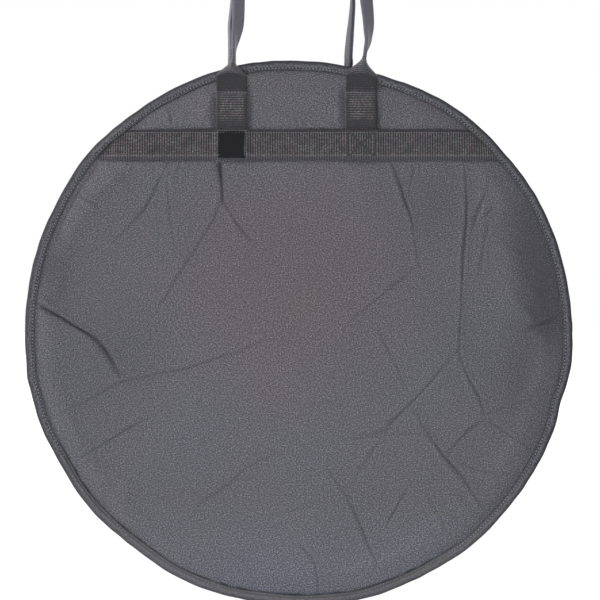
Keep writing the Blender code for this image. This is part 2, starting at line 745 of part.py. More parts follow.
def section_points(centre, across, depth, extent_across, extent_depth):
    """Eight corners of a strap's section, a rectangle with its corners cut."""
    half_across = extent_across / 2
    half_depth = extent_depth / 2
    cut = min(half_across, half_depth) / 2
    corners = []
    for a, b in ((-1, -1), (1, -1), (1, 1), (-1, 1)):
        near = (a * half_across, b * (half_depth - cut))
        far = (a * (half_across - cut), b * half_depth)
        corners += [near, far] if a == b else [far, near]
    return [centre + across * a + depth * b for a, b in corners]


def make_handle(bag, name, side, legs, necks, pivot):
    """One loop of webbing: up from the left leg, over the arch and down to the right leg."""
    spring_height = HOOK_HEIGHT + FOLDED_THICKNESS / 2 - ARCH_HEIGHT
    middle = sum(necks) / 2
    half_span = (necks[1] - necks[0]) / 2
    rings = []
    shape = bmesh.new()

    def add_ring(station, tangent):
        x, level, height, extent_across, extent_depth, twist = station
        inward = Vector((tangent.z, 0, -tangent.x))
        depth = Vector((0, 1, 0))
        turned_across = inward * math.cos(twist) + depth * math.sin(twist)
        turned_depth = depth * math.cos(twist) - inward * math.sin(twist)
        centre = on_disc(x, side * level, height)
        points = section_points(centre, turned_across, turned_depth, extent_across, extent_depth)
        rings.append([shape.verts.new(point) for point in points])

    up = Vector((0, 0, 1))
    left = handle_climb(legs[0], necks[0], middle - half_span, spring_height)
    right = handle_climb(legs[1], necks[1], middle + half_span, spring_height)
    for station in left:
        add_ring(station, up)
    for i in range(1, ARCH_STEPS):
        angle = math.pi * i / ARCH_STEPS
        x = middle - half_span * math.cos(angle)
        height = spring_height + ARCH_HEIGHT * math.sin(angle)
        tangent = Vector((half_span * math.sin(angle), 0, ARCH_HEIGHT * math.cos(angle))).normalized()
        add_ring((x, GRIP_LEVEL, height, FOLDED_THICKNESS, FOLDED_WIDTH, 0), tangent)
    for station in reversed(right):
        add_ring(station, -up)
    skin(shape, rings)
    return bag.place(name, finished_mesh(name, shape), bag.webbing, pivot)


def build():
    for old in list(bpy.data.objects):
        bpy.data.objects.remove(old)
    bag = Bag()
    bag.make_pivots()
    cutters = make_cutters(bag)
    make_panels(bag, cutters)
    make_edges(bag, cutters)
    make_chain(bag)
    make_slider(bag)
    make_pull(bag)
    make_straps(bag, FRONT, FRONT_LEGS, "front", bag.fold)
    make_straps(bag, BACK, BACK_LEGS, "back", None)
    make_label(bag)
    make_handle(bag, "front_handle", FRONT, FRONT_LEGS, FRONT_NECKS, bag.front_hinge)
    make_handle(bag, "back_handle", BACK, BACK_LEGS, BACK_NECKS, bag.back_hinge)


build()
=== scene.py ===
import math

import bmesh
import bpy
import numpy as np
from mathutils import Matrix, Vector, noise


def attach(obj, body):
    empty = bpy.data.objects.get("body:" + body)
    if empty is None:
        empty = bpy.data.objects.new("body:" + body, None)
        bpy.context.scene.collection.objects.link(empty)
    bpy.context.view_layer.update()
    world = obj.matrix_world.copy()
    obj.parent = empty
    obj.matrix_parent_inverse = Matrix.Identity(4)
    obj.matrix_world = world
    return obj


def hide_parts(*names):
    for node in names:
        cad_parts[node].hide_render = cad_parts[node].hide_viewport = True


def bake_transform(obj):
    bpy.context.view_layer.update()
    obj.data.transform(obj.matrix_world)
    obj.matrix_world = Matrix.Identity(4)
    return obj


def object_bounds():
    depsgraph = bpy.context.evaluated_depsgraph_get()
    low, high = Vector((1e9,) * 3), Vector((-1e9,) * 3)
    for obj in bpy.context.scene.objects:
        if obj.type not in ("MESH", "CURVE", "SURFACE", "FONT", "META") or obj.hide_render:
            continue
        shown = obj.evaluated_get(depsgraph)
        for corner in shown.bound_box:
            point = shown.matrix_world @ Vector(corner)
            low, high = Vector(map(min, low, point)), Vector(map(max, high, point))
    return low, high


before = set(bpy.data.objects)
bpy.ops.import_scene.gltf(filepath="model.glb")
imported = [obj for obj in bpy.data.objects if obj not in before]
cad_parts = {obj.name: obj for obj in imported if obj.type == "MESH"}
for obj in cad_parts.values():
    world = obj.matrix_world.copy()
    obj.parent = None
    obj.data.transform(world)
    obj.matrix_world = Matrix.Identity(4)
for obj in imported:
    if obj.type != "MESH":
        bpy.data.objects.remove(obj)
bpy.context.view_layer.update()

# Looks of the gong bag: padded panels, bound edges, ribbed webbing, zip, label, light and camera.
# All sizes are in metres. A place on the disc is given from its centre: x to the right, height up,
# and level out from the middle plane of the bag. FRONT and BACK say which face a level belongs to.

FRONT = -1
BACK = 1
MM = 0.001

# The disc and its layers, as in the part's source
CENTRE = np.array([0.002, 0.0, -0.431])
BAG_RADIUS = 0.274
BINDING_EDGE = 0.2645
COVER_RADIUS = 0.2725
ROLL_RADIUS = 0.236
ROLL_REACH = 0.026
FLAT_RADIUS = 0.150
CROWN_LEVEL = 0.0184
PLATEAU_LEVEL = 0.0166
COVER_EDGE = 0.0115
PANEL_INNER = 0.0103
LINING_OUTER = 0.0098
LINING_THICKNESS = 0.0008
LINING_RADIUS = 0.262
BINDING_OUTER = 0.0130
BINDING_INNER = 0.0075
TAPE_THICKNESS = 0.0012
GUSSET_LEVEL = 0.010
GUSSET_RADIUS = 0.263
GUSSET_THICKNESS = 0.001

# Fold of the flap, and how far below the centre the zip ends
FOLD_HEIGHT = 0.012
FOLD_REACH = 0.022
ZIP_END = 0.016
ZIP_SIDE_ANGLE = math.asin(ZIP_END / GUSSET_RADIUS)

# Webbing
WEBBING_WIDTH = 0.030
WEBBING_THICKNESS = 0.0016
RIB_PITCH = 0.00245
RIB_HEIGHT = 0.00045
CROSS_HEIGHT = 0.1865
CROSS_REACH = 0.2655
STITCH_ROW = 0.239
LEGS = {FRONT: (-0.0665, 0.0625), BACK: (-0.0685, 0.0515)}
WORDS = {FRONT: "front", BACK: "back"}

# Sewing and teeth: length, width, depth and pitch of one stitch or tooth
STITCH_SIZES = ("Length", "Width", "Depth", "Pitch")
STITCH_PITCH = 0.0034
TOOTH_PITCH = 0.005
BINDING_STITCH = (0.0021, 0.0006, 0.0005, STITCH_PITCH)
STRAP_STITCH = (0.0025, 0.0009, 0.0007, 0.0031)
BOX_STITCH = (0.0025, 0.0011, 0.0008, 0.0031)
CROSS_STITCH = (0.0034, 0.0026, 0.0011, 0.0029)
LABEL_STITCH = (0.0017, 0.00045, 0.0004, 0.0022)
TOOTH = (0.0031, 0.0020, 0.0031, TOOTH_PITCH)

# Rows of sewing: in from the edge of the binding, and above and below the middle of the cross strap
BINDING_ROW = 1.8 * MM
HIGH_ROW = 12.2 * MM
LOW_ROW = 10.2 * MM
ROW_REACH = 0.2640
LEG_ROW_HALF = 13.6 * MM
BOX_HALF = 11.4 * MM
UPRIGHT_HALF = 13.7 * MM


def ease(share):
    """Smooth step from 0 to 1 of a number or an array."""
    share = np.clip(share, 0.0, 1.0)
    return share * share * (3 - 2 * share)


def bump(distance, width):
    """Bell of height 1 that has fallen to a third at one width."""
    return np.exp(-((distance / width) ** 2))


def place(x, level, height):
    """Points of the frame from places on the disc."""
    x, level, height = np.broadcast_arrays(x, level, height)
    return np.stack([x, level, height], axis=-1) + CENTRE


# Meshes

def grid_mesh(name, points, u, v, close_u=False, close_v=False, caps=False):
    """A mesh over a grid of points, with a UV map named cloth that holds u and v in metres.

    u and v have one value more than the grid where it closes, so that the map has no jump.
    """
    rows, columns = points.shape[:2]
    i = np.arange(rows if close_u else rows - 1)
    j = np.arange(columns if close_v else columns - 1)
    i, j = (g.ravel() for g in np.meshgrid(i, j, indexing="ij"))
    corners = [(i, j), (i + 1, j), (i + 1, j + 1), (i, j + 1)]
    faces = np.stack([(a % rows) * columns + b % columns for a, b in corners], axis=1).tolist()
    uv = np.stack([np.stack([u[a], v[b]], axis=1) for a, b in corners], axis=1).reshape(-1, 2)
    if caps:
        for row, order in ((0, 1), (rows - 1, -1)):
            faces.append([row * columns + column for column in range(columns)][::order])
            tip = np.stack([np.full(columns, u[row]), v[:columns]], axis=1)[::order]
            uv = np.concatenate([uv, tip])
    mesh = bpy.data.meshes.new(name)
    mesh.from_pydata(points.reshape(-1, 3).tolist(), [], faces)
    layer = mesh.uv_layers.new(name="cloth")
    layer.data.foreach_set("uv", uv.astype(np.float32).ravel())
    return mesh


def linked(name, data):
    """A new object of the scene."""
    piece = bpy.data.objects.new(name, data)
    bpy.context.scene.collection.objects.link(piece)
    return piece


def smoothed(piece):
    faces = piece.data.polygons
    faces.foreach_set("use_smooth", [True] * len(faces))
    return piece


def shown(name, mesh, finish):
    """Links a mesh with its finish, its doubles merged and its faces turned outwards."""
    shape = bmesh.new()
    shape.from_mesh(mesh)
    bmesh.ops.remove_doubles(shape, verts=shape.verts, dist=0.01 * MM)
    bmesh.ops.recalc_face_normals(shape, faces=shape.faces)
    shape.to_mesh(mesh)
    shape.free()
    mesh.materials.clear()
    mesh.materials.append(finish)
    return smoothed(linked(name, mesh))


def flat_map(piece, shift=0.0):
    """Maps a piece by its places on the disc, so that its weave has no jump."""
    mesh = piece.data
    spots = np.empty(len(mesh.vertices) * 3, np.float32)
    mesh.vertices.foreach_get("co", spots)
    corners = np.empty(len(mesh.loops), np.int32)
    mesh.loops.foreach_get("vertex_index", corners)
    places = (spots.reshape(-1, 3)[corners] - CENTRE)[:, [0, 2]] + np.array([0.0, shift])
    mesh.uv_layers["cloth"].data.foreach_set("uv", places.astype(np.float32).ravel())


def evaluated_copy(piece):
    """Applies a piece's modifiers: its mesh becomes the evaluated one."""
    graph = bpy.context.evaluated_depsgraph_get()
    mesh = bpy.data.meshes.new_from_object(piece.evaluated_get(graph))
    piece.modifiers.clear()
    piece.data = mesh
    return piece


def thickened(piece, thickness, offset):
    """Gives a cloth its thickness."""
    thick = piece.modifiers.new("thickness", "SOLIDIFY")
    thick.thickness = thickness
    thick.offset = offset
    return evaluated_copy(piece)


# Node trees

class Wire:
    """A socket that carries a number, so that shader maths reads as Python."""

    def __init__(self, nodes, socket):
        self.nodes = nodes
        self.socket = socket

    def math(self, operation, *others):
        return self.nodes.math(operation, self, *others)

    def __add__(self, other):
        return self.math("ADD", other)

    def __sub__(self, other):
        return self.math("SUBTRACT", other)

    def __rsub__(self, other):
        return self.nodes.math("SUBTRACT", other, self)

    def __mul__(self, other):
        return self.math("MULTIPLY", other)

    def __truediv__(self, other):
        return self.math("DIVIDE", other)

    __radd__ = __add__
    __rmul__ = __mul__


class Added:
    """A node that was added, whose outputs are taken by name or place."""

    def __init__(self, nodes, node):
        self.nodes = nodes
        self.node = node

    def out(self, key=0):
        return Wire(self.nodes, self.node.outputs[key])


class Nodes:
    """A node tree and the methods that add to it."""

    def __init__(self, tree):
        self.tree = tree

    def add(self, kind, settings=None, values=None):
        node = self.tree.nodes.new(kind)
        for key, value in (settings or {}).items():
            setattr(node, key, value)
        for key, value in (values or {}).items():
            socket = node.inputs[key]
            if isinstance(value, Wire):
                self.tree.links.new(value.socket, socket)
            else:
                socket.default_value = value
        return Added(self, node)

    def math(self, operation, *parts):
        return self.add("ShaderNodeMath", {"operation": operation}, dict(enumerate(parts))).out()

    def split(self, vector):
        parts = self.add("ShaderNodeSeparateXYZ", None, {0: vector})
        return parts.out(0), parts.out(1), parts.out(2)


class Finish(Nodes):
    """A material of this bag: cloth coordinates, noises, colours and the shader."""

    def __init__(self, name):
        self.material = bpy.data.materials.new(name)
        self.material.use_nodes = True
        super().__init__(self.material.node_tree)
        self.tree.nodes.clear()
        self.bumps = None

    def cloth(self):
        """The piece's own map, in metres along and across its cloth."""
        return self.add("ShaderNodeUVMap", {"uv_map": "cloth"}).out()

    def object_place(self):
        return self.add("ShaderNodeTexCoord").out("Object")

    def share(self, name):
        """A value from 0 to 1 that the mesh carries."""
        return self.add("ShaderNodeAttribute", {"attribute_name": name}).out("Fac")

    def stretched(self, vector, scale):
        return self.add("ShaderNodeVectorMath", {"operation": "MULTIPLY"}, {0: vector, 1: scale}).out()

    def noise(self, vector, scale, detail=2.0, roughness=0.5):
        values = {"Vector": vector, "Scale": scale, "Detail": detail, "Roughness": roughness}
        return self.add("ShaderNodeTexNoise", None, values).out()

    def spread(self, value, low, high):
        """0 below low and 1 above high."""
        return self.add("ShaderNodeMapRange", None, {0: value, 1: low, 2: high, 3: 0.0, 4: 1.0}).out()

    def patches(self, vector, scale, detail, low, high):
        """Soft patches of noise."""
        return self.spread(self.noise(vector, scale, detail), low, high)

    def wave(self, run, pitch, shape="SINE"):
        """A wave from 0 to 1 along a coordinate."""
        return (run * (2 * math.pi / pitch)).math(shape) * 0.5 + 0.5

    def weave(self, cloth, pitch):
        """Height of a plain weave: threads that pass over and under each other."""
        u, v, _ = self.split(cloth)
        warp, weft = ((run * (math.pi / pitch)).math("SINE") for run in (u, v))
        return (warp * weft) * 0.5 + 0.5

    def mixed(self, share, first, second):
        """A colour between two colours."""
        return self.add("ShaderNodeMix", {"data_type": "RGBA"}, {0: share, 6: first, 7: second}).out(2)

    def coats(self, body, *coats):
        """A colour with coats over it, each a share and a colour."""
        for share, colour in coats:
            body = self.mixed(share, body, colour)
        return body

    def raise_by(self, height, distance, strength=1.0):
        """Adds a layer of bump: height 0 to 1 over that distance in metres."""
        values = {"Height": height, "Distance": distance, "Strength": strength}
        if self.bumps is not None:
            values["Normal"] = self.bumps
        self.bumps = self.add("ShaderNodeBump", None, values).out()

    def done(self, colour, roughness, **constants):
        """Adds the shader with its constants set on its own sockets."""
        values = {"Base Color": colour, "Roughness": roughness}
        values.update({key.replace("_", " "): value for key, value in constants.items()})
        if self.bumps is not None:
            values["Normal"] = self.bumps
        shader = self.add("ShaderNodeBsdfPrincipled", None, values)
        self.add("ShaderNodeOutputMaterial", None, {0: shader.out()})
        return self.material


# A colour with full alpha, for the bag's own colours and for painted light and shade alike
def rgba(red, green, blue):
    return (red, green, blue, 1.0)


def cover_cloth():
    """Dark grey woven polyester: light, dark, bluish and brownish flecks. Painted light makes the middle of
    the front warmer and its lower part paler and bluer, and painted shade darkens it along its folds, beside
    its straps, in hollows and by its binding.
    """
    finish = Finish("cover_cloth")
    cloth = finish.cloth()
    place_on = finish.object_place()
    weave = finish.weave(cloth, 0.0007)
    fleck = finish.noise(finish.stretched(cloth, (740.0, 880.0, 1.0)), 1.0, 2.0, 0.7)
    hue = finish.patches(cloth, 260.0, 2.0, 0.35, 0.65)
    body = finish.coats(
        finish.mixed(hue, rgba(0.128, 0.114, 0.118), rgba(0.104, 0.110, 0.132)),
        (finish.patches(place_on, 7.0, 3.0, 0.35, 0.7) * 0.4, rgba(0.136, 0.126, 0.138)),
        (finish.patches(place_on, 6.0, 2.0, 0.45, 0.75) * 0.35, rgba(0.100, 0.116, 0.150)),
        (finish.patches(place_on, 17.0, 2.0, 0.55, 0.75) * 0.30, rgba(0.142, 0.118, 0.114)),
        (finish.spread(fleck, 0.52, 0.68) * 0.90, rgba(0.420, 0.404, 0.440)),
        (finish.spread(fleck, 0.49, 0.34) * 0.84, rgba(0.020, 0.017, 0.024)),
        (finish.patches(cloth, 1500.0, 1.0, 0.45, 0.75) * 0.40, rgba(0.260, 0.240, 0.256)),
    )
    # Painted light: a warm pool round the middle of the front face and a paler, bluer band low on it,
    # multiplied over the cloth
    warm_light_spot = {0: cloth, 1: (-0.015, 0.055, 0.0)}
    reach = finish.add("ShaderNodeVectorMath", {"operation": "DISTANCE"}, warm_light_spot).out("Value")
    _, up, _ = finish.split(cloth)
    painted_light_tint = finish.mixed(finish.spread(reach, 0.03, 0.155), rgba(1.035, 0.938, 0.905), rgba(1.0, 1.0, 1.0))
    painted_light_tint = finish.mixed(finish.spread(up, -0.165, -0.255), painted_light_tint, rgba(1.17, 1.21, 1.25))
    multiply = {"data_type": "RGBA", "blend_type": "MULTIPLY"}
    body = finish.add("ShaderNodeMix", multiply, {0: 1.0, 6: body, 7: painted_light_tint}).out(2)
    # Painted shade from the fold attribute: darker along creases, beside the straps, in hollows and along the
    # seam with the binding
    body = finish.mixed(finish.share("fold"), body, rgba(0.030, 0.029, 0.034))
    finish.raise_by(weave, 0.12 * MM, 0.7)
    finish.raise_by(fleck, 0.22 * MM, 0.5)
    rough = finish.spread(fleck, 0.2, 0.8) * 0.14 + 0.76
    return finish.done(body, rough, Sheen_Weight=0.15, Sheen_Roughness=0.5, Specular_IOR_Level=0.3)


def lining_cloth():
    """Thin black nylon with a close weave and a soft shine."""
    finish = Finish("lining_cloth")
    cloth = finish.cloth()
    blotch = finish.noise(cloth, 30.0, 3.0)
    body = finish.mixed(finish.spread(blotch, 0.3, 0.7), rgba(0.024, 0.024, 0.027), rgba(0.040, 0.040, 0.044))
    finish.raise_by(finish.weave(cloth, 0.0005), 0.06 * MM, 0.6)
    finish.raise_by(blotch, 0.5 * MM, 0.3)
    return finish.done(body, blotch * 0.2 + 0.42, Sheen_Weight=0.1)


def binding_tape():
    """Grosgrain edge tape: fine ribs across it and a sewn groove, with painted shade in the groove and where
    it turns over the edge, and painted light that makes it paler and warmer low down.
    """
    finish = Finish("binding_tape")
    cloth = finish.cloth()
    along, across, _ = finish.split(cloth)
    ribs = finish.wave(along, 0.0011)
    fleck = finish.noise(finish.stretched(cloth, (780.0, 420.0, 1.0)), 1.0, 1.0)
    # Painted shade in the sewn groove
    groove = 1.0 - finish.spread((across - 0.0018).math("ABSOLUTE"), 0.0005, 0.0012)
    # Painted light: the tape is paler and warmer low down, and the painted shade on its edge is lighter there
    _, _, height = finish.split(finish.object_place())
    low = finish.spread(height, CENTRE[2] - 0.110, CENTRE[2] - 0.225)
    # Painted shade where the tape turns away over the edge
    outer = finish.spread(across, 0.0045, 0.0078)
    body = finish.coats(
        finish.mixed(finish.spread(fleck, 0.3, 0.7), rgba(0.060, 0.059, 0.067), rgba(0.262, 0.256, 0.278)),
        (finish.patches(cloth, 45.0, 3.0, 0.45, 0.75) * 0.30, rgba(0.165, 0.160, 0.172)),
        (ribs * 0.25, rgba(0.035, 0.034, 0.040)),
        (groove * 0.70, rgba(0.016, 0.016, 0.020)),
        (low * 0.40, rgba(0.215, 0.196, 0.202)),
        (outer * (0.72 - low * 0.30), rgba(0.018, 0.019, 0.027)),
    )
    finish.raise_by(ribs, 0.12 * MM, 0.6)
    finish.raise_by(fleck, 0.15 * MM, 0.6)
    return finish.done(body, fleck * 0.12 + 0.76, Sheen_Weight=0.02, Specular_IOR_Level=0.2)


def webbing_cloth():
    """Black ribbed webbing with a close dark selvedge, painted highlights on its crests in lines and beads,
    painted shade in its valleys, and painted light that greys it where light falls on it.
    """
    finish = Finish("webbing")
    cloth = finish.cloth()
    along, across, _ = finish.split(cloth)
    crest = finish.wave(along, RIB_PITCH, "COSINE")
    fibre = finish.noise(finish.stretched(cloth, (620.0, 1500.0, 1.0)), 1.0, 2.0)
    bead = finish.noise(finish.stretched(cloth, (1 / RIB_PITCH, 520.0, 1.0)), 1.0, 1.0)
    highlight_breakup = finish.noise(cloth, 110.0, 3.0)
    # This attribute sets the painted light on the ribs: pale highlights on the crests and shade in the
    # valleys
    rib_light = finish.share("rib_light")
    selvedge = finish.spread(across.math("ABSOLUTE"), 0.0112, 0.0128)
    middle = 1.0 - selvedge * 0.75
    # Painted highlights on the crests, in lines and beads, broken up by noise
    line = crest * crest * finish.spread(highlight_breakup, 0.20, 0.60) * rib_light * middle
    beads = crest * finish.spread(bead, 0.46, 0.62) * finish.spread(highlight_breakup, 0.25, 0.62) * rib_light * middle
    hue = finish.patches(cloth, 170.0, 2.0, 0.40, 0.60)
    dull = finish.mixed(fibre, rgba(0.014, 0.012, 0.014), rgba(0.040, 0.037, 0.042))
    lit_grey = finish.mixed(fibre, rgba(0.150, 0.146, 0.178), rgba(0.225, 0.219, 0.262))
    body = finish.coats(
        # Painted light from the tone attribute: greyer where light falls, black in shade
        finish.mixed(finish.share("tone"), dull, lit_grey),
        # Painted shade in the valleys between the ribs
        ((1.0 - crest) * 0.85 * rib_light, rgba(0.006, 0.005, 0.006)),
        (line * 0.55, finish.mixed(hue, rgba(0.196, 0.150, 0.158), rgba(0.158, 0.166, 0.150))),
        (beads * 0.80, finish.mixed(hue, rgba(0.380, 0.300, 0.320), rgba(0.310, 0.330, 0.300))),
        (selvedge * 0.35 * rib_light, rgba(0.018, 0.016, 0.018)),
    )
    finish.raise_by(finish.wave(across, 0.0012), 0.10 * MM, 0.6)
    finish.raise_by(fibre, 0.10 * MM, 0.6)
    return finish.done(body, fibre * 0.15 + 0.62, Sheen_Weight=0.08, Specular_IOR_Level=0.3)


def zip_cloth():
    """Close woven zip tape, in a fine herringbone."""
    finish = Finish("zip_tape")
    along, across, _ = finish.split(finish.cloth())
    slant = (across * (2 * math.pi / 0.003)).math("SINE")
    bone = finish.wave(along + slant * 0.0008, 0.0012)
    body = finish.mixed(bone, rgba(0.024, 0.024, 0.027), rgba(0.050, 0.050, 0.055))
    finish.raise_by(bone, 0.08 * MM, 0.7)
    return finish.done(body, 0.78, Sheen_Weight=0.1)


def moulded_plastic():
    """Zip teeth: satin black plastic with small flow marks."""
    finish = Finish("zip_teeth")
    marks = finish.noise(finish.object_place(), 900.0, 2.0)
    body = finish.mixed(marks, rgba(0.016, 0.016, 0.018), rgba(0.030, 0.030, 0.033))
    finish.raise_by(marks, 0.05 * MM, 0.3)
    return finish.done(body, marks * 0.15 + 0.32)


def lacquered_zinc():
    """Slider, pull and stops: dark lacquer, worn brighter where fingers and cloth rub."""
    finish = Finish("slider_metal")
    place_on = finish.object_place()
    grain = finish.noise(place_on, 1400.0, 3.0)
    worn = finish.patches(place_on, 320.0, 4.0, 0.56, 0.66)
    body = finish.mixed(worn, rgba(0.075, 0.075, 0.080), rgba(0.34, 0.33, 0.32))
    finish.raise_by(grain, 0.03 * MM, 0.35)
    return finish.done(body, grain * 0.16 + 0.26, Metallic=0.9, Coat_Weight=0.2, Coat_Roughness=0.25)


def label_satin():
    """Bare black satin: long floats that shine across, with a paler cut edge."""
    finish = Finish("label_satin")
    cloth = finish.cloth()
    floats = finish.noise(finish.stretched(cloth, (350.0, 4200.0, 1.0)), 1.0, 2.0)
    u, v, _ = finish.split(cloth)
    edge_u, edge_v = (finish.spread(run.math("ABSOLUTE"), 0.01390, 0.01430) for run in (u, v))
    body = finish.mixed(floats, rgba(0.006, 0.006, 0.007), rgba(0.020, 0.020, 0.023))
    body = finish.mixed(edge_u.math("MAXIMUM", edge_v) * 0.8, body, rgba(0.130, 0.128, 0.136))
    finish.raise_by(floats, 0.05 * MM, 0.5)
    return finish.done(body, floats * 0.18 + 0.46, Sheen_Weight=0.02, Specular_IOR_Level=0.10)


def thread(name, low, high):
    """Spun polyester thread with a fine twist."""
    finish = Finish(name)
    fuzz = finish.noise(finish.object_place(), 2600.0, 1.0)
    finish.raise_by(fuzz, 0.06 * MM, 0.6)
    return finish.done(finish.mixed(fuzz, low, high), 0.72, Sheen_Weight=0.3)


FINISHES = {
    "cover": cover_cloth(),
    "lining": lining_cloth(),
    "binding": binding_tape(),
    "webbing": webbing_cloth(),
    "zip_tape": zip_cloth(),
    "teeth": moulded_plastic(),
    "metal": lacquered_zinc(),
    "label": label_satin(),
    "grey_thread": thread("grey_thread", rgba(0.30, 0.30, 0.33), rgba(0.56, 0.56, 0.60)),
    "black_thread": thread("black_thread", rgba(0.010, 0.010, 0.011), rgba(0.045, 0.043, 0.046)),
    "dark_thread": thread("dark_thread", rgba(0.080, 0.074, 0.078), rgba(0.260, 0.244, 0.250)),
}


# Repeated pieces by Geometry Nodes

def geometry_tree(name, sizes):
    """A new geometry tree with named inputs for its sizes and its material."""
    tree = bpy.data.node_groups.new(name, "GeometryNodeTree")
    for way in ("INPUT", "OUTPUT"):
        tree.interface.new_socket("Geometry", in_out=way, socket_type="NodeSocketGeometry")
    for label, size in sizes.items():
        socket = tree.interface.new_socket(label, in_out="INPUT", socket_type="NodeSocketFloat")
        socket.default_value = size
    tree.interface.new_socket("Material", in_out="INPUT", socket_type="NodeSocketMaterial")
    nodes = Nodes(tree)
    return nodes, nodes.add("NodeGroupInput")


def finish_tree(nodes, geometry, given):
    """Ends a tree in Realize Instances and Set Material."""
    solid = nodes.add("GeometryNodeRealizeInstances", None, {0: geometry}).out()
    values = {"Geometry": solid, "Material": given.out("Material")}
    painted = nodes.add("GeometryNodeSetMaterial", None, values)
    nodes.add("NodeGroupOutput", None, {0: painted.out()})
    return nodes.tree


def along_path_tree():
    """Small rods laid end to end along a path, a gap between each two, turned along it."""
    nodes, given = geometry_tree("rods_along_a_path", dict(zip(STITCH_SIZES, BINDING_STITCH)))
    path = nodes.add("GeometryNodeMeshToCurve", None, {0: given.out("Geometry")}).out()
    values = {"Curve": path, "Length": given.out("Pitch")}
    spaced = nodes.add("GeometryNodeResampleCurve", {"mode": "LENGTH"}, values).out()
    tangent = nodes.add("GeometryNodeInputTangent").out()
    along = nodes.add("FunctionNodeAlignEulerToVector", {"axis": "X"}, {"Vector": tangent}).out()
    rod = nodes.add("GeometryNodeMeshIcoSphere", None, {"Radius": 0.5, "Subdivisions": 2}).out()
    values = {0: given.out("Length"), 1: given.out("Depth"), 2: given.out("Width")}
    size = nodes.add("ShaderNodeCombineXYZ", None, values).out()
    sized = nodes.add("GeometryNodeTransform", None, {"Geometry": rod, "Scale": size}).out()
    values = {"Points": spaced, "Instance": sized, "Rotation": along}
    return finish_tree(nodes, nodes.add("GeometryNodeInstanceOnPoints", None, values).out(), given)


def ribs_tree():
    """Raises ribs across a band of webbing by its map, flat near its two edges."""
    sizes = {"Pitch": RIB_PITCH, "Rib Height": RIB_HEIGHT, "Half Width": WEBBING_WIDTH / 2, "Edge": 0.0030}
    nodes, given = geometry_tree("ribs_of_webbing", sizes)

    def carried(kind, name):
        values = {"Name": name}
        return nodes.add("GeometryNodeInputNamedAttribute", {"data_type": kind}, values).out()

    along, across, _ = nodes.split(carried("FLOAT_VECTOR", "cloth_place"))
    wave = (along * (2 * math.pi) / given.out("Pitch")).math("COSINE") * 0.5
    from_edge = (given.out("Half Width") - across.math("ABSOLUTE")) / given.out("Edge")
    share = from_edge.math("MINIMUM", 1.0).math("MAXIMUM", 0.0)
    # The ribs stand lower where the webbing gets less painted light
    height = wave * share * given.out("Rib Height") * (carried("FLOAT", "rib_light") * 0.7 + 0.3)
    normal = nodes.add("GeometryNodeInputNormal").out()
    offset = nodes.add("ShaderNodeVectorMath", {"operation": "SCALE"}, {0: normal, "Scale": height}).out()
    values = {"Geometry": given.out("Geometry"), "Offset": offset}
    return finish_tree(nodes, nodes.add("GeometryNodeSetPosition", None, values).out(), given)


TREES = {"rods": along_path_tree(), "ribs": ribs_tree()}


def run_tree(piece, tree, values):
    """Runs a geometry tree on a piece and keeps its result as a plain mesh."""
    modifier = piece.modifiers.new("made", "NODES")
    modifier.node_group = tree
    sockets = {item.name: item.identifier for item in tree.interface.items_tree if item.in_out == "INPUT"}
    for name, value in values.items():
        modifier[sockets[name]] = value
    return smoothed(evaluated_copy(piece))


def stitches(name, paths, finish, size):
    """Rows of stitches of one size along paths, each a list of points and whether it closes."""
    points = []
    edges = []
    for path, closed in paths:
        first = len(points)
        points += [tuple(p) for p in path]
        last = len(points)
        edges += [(k, k + 1) for k in range(first, last - 1)]
        if closed:
            edges.append((last - 1, first))
    mesh = bpy.data.meshes.new(name)
    mesh.from_pydata(points, edges, [])
    return run_tree(linked(name, mesh), TREES["rods"], dict(zip(STITCH_SIZES, size), Material=finish))


# The faces: outline, crown, creases and soft waves

# Where the outline leaves the circle: angle and reach in degrees, and how far in metres
RIM_WAVES = {
    FRONT: [
        (74, 12, -0.0042), (91, 8, -0.0017), (140, 9, 0.0026), (160, 9, 0.0008), (190, 3, 0.0016),
        (199, 4, 0.0010), (209, 6, -0.0011), (232, 8, -0.0022), (265, 8, -0.0012), (285, 6, 0.0010),
        (309, 7, 0.0011), (345, 3, -0.0022), (355, 4, 0.0012), (12, 6, -0.0006), (40, 5, -0.0010),
    ],
    BACK: [(96, 16, -0.0030), (40, 14, 0.0016), (330, 12, -0.0018), (240, 15, -0.0022), (200, 9, 0.0012)],
}
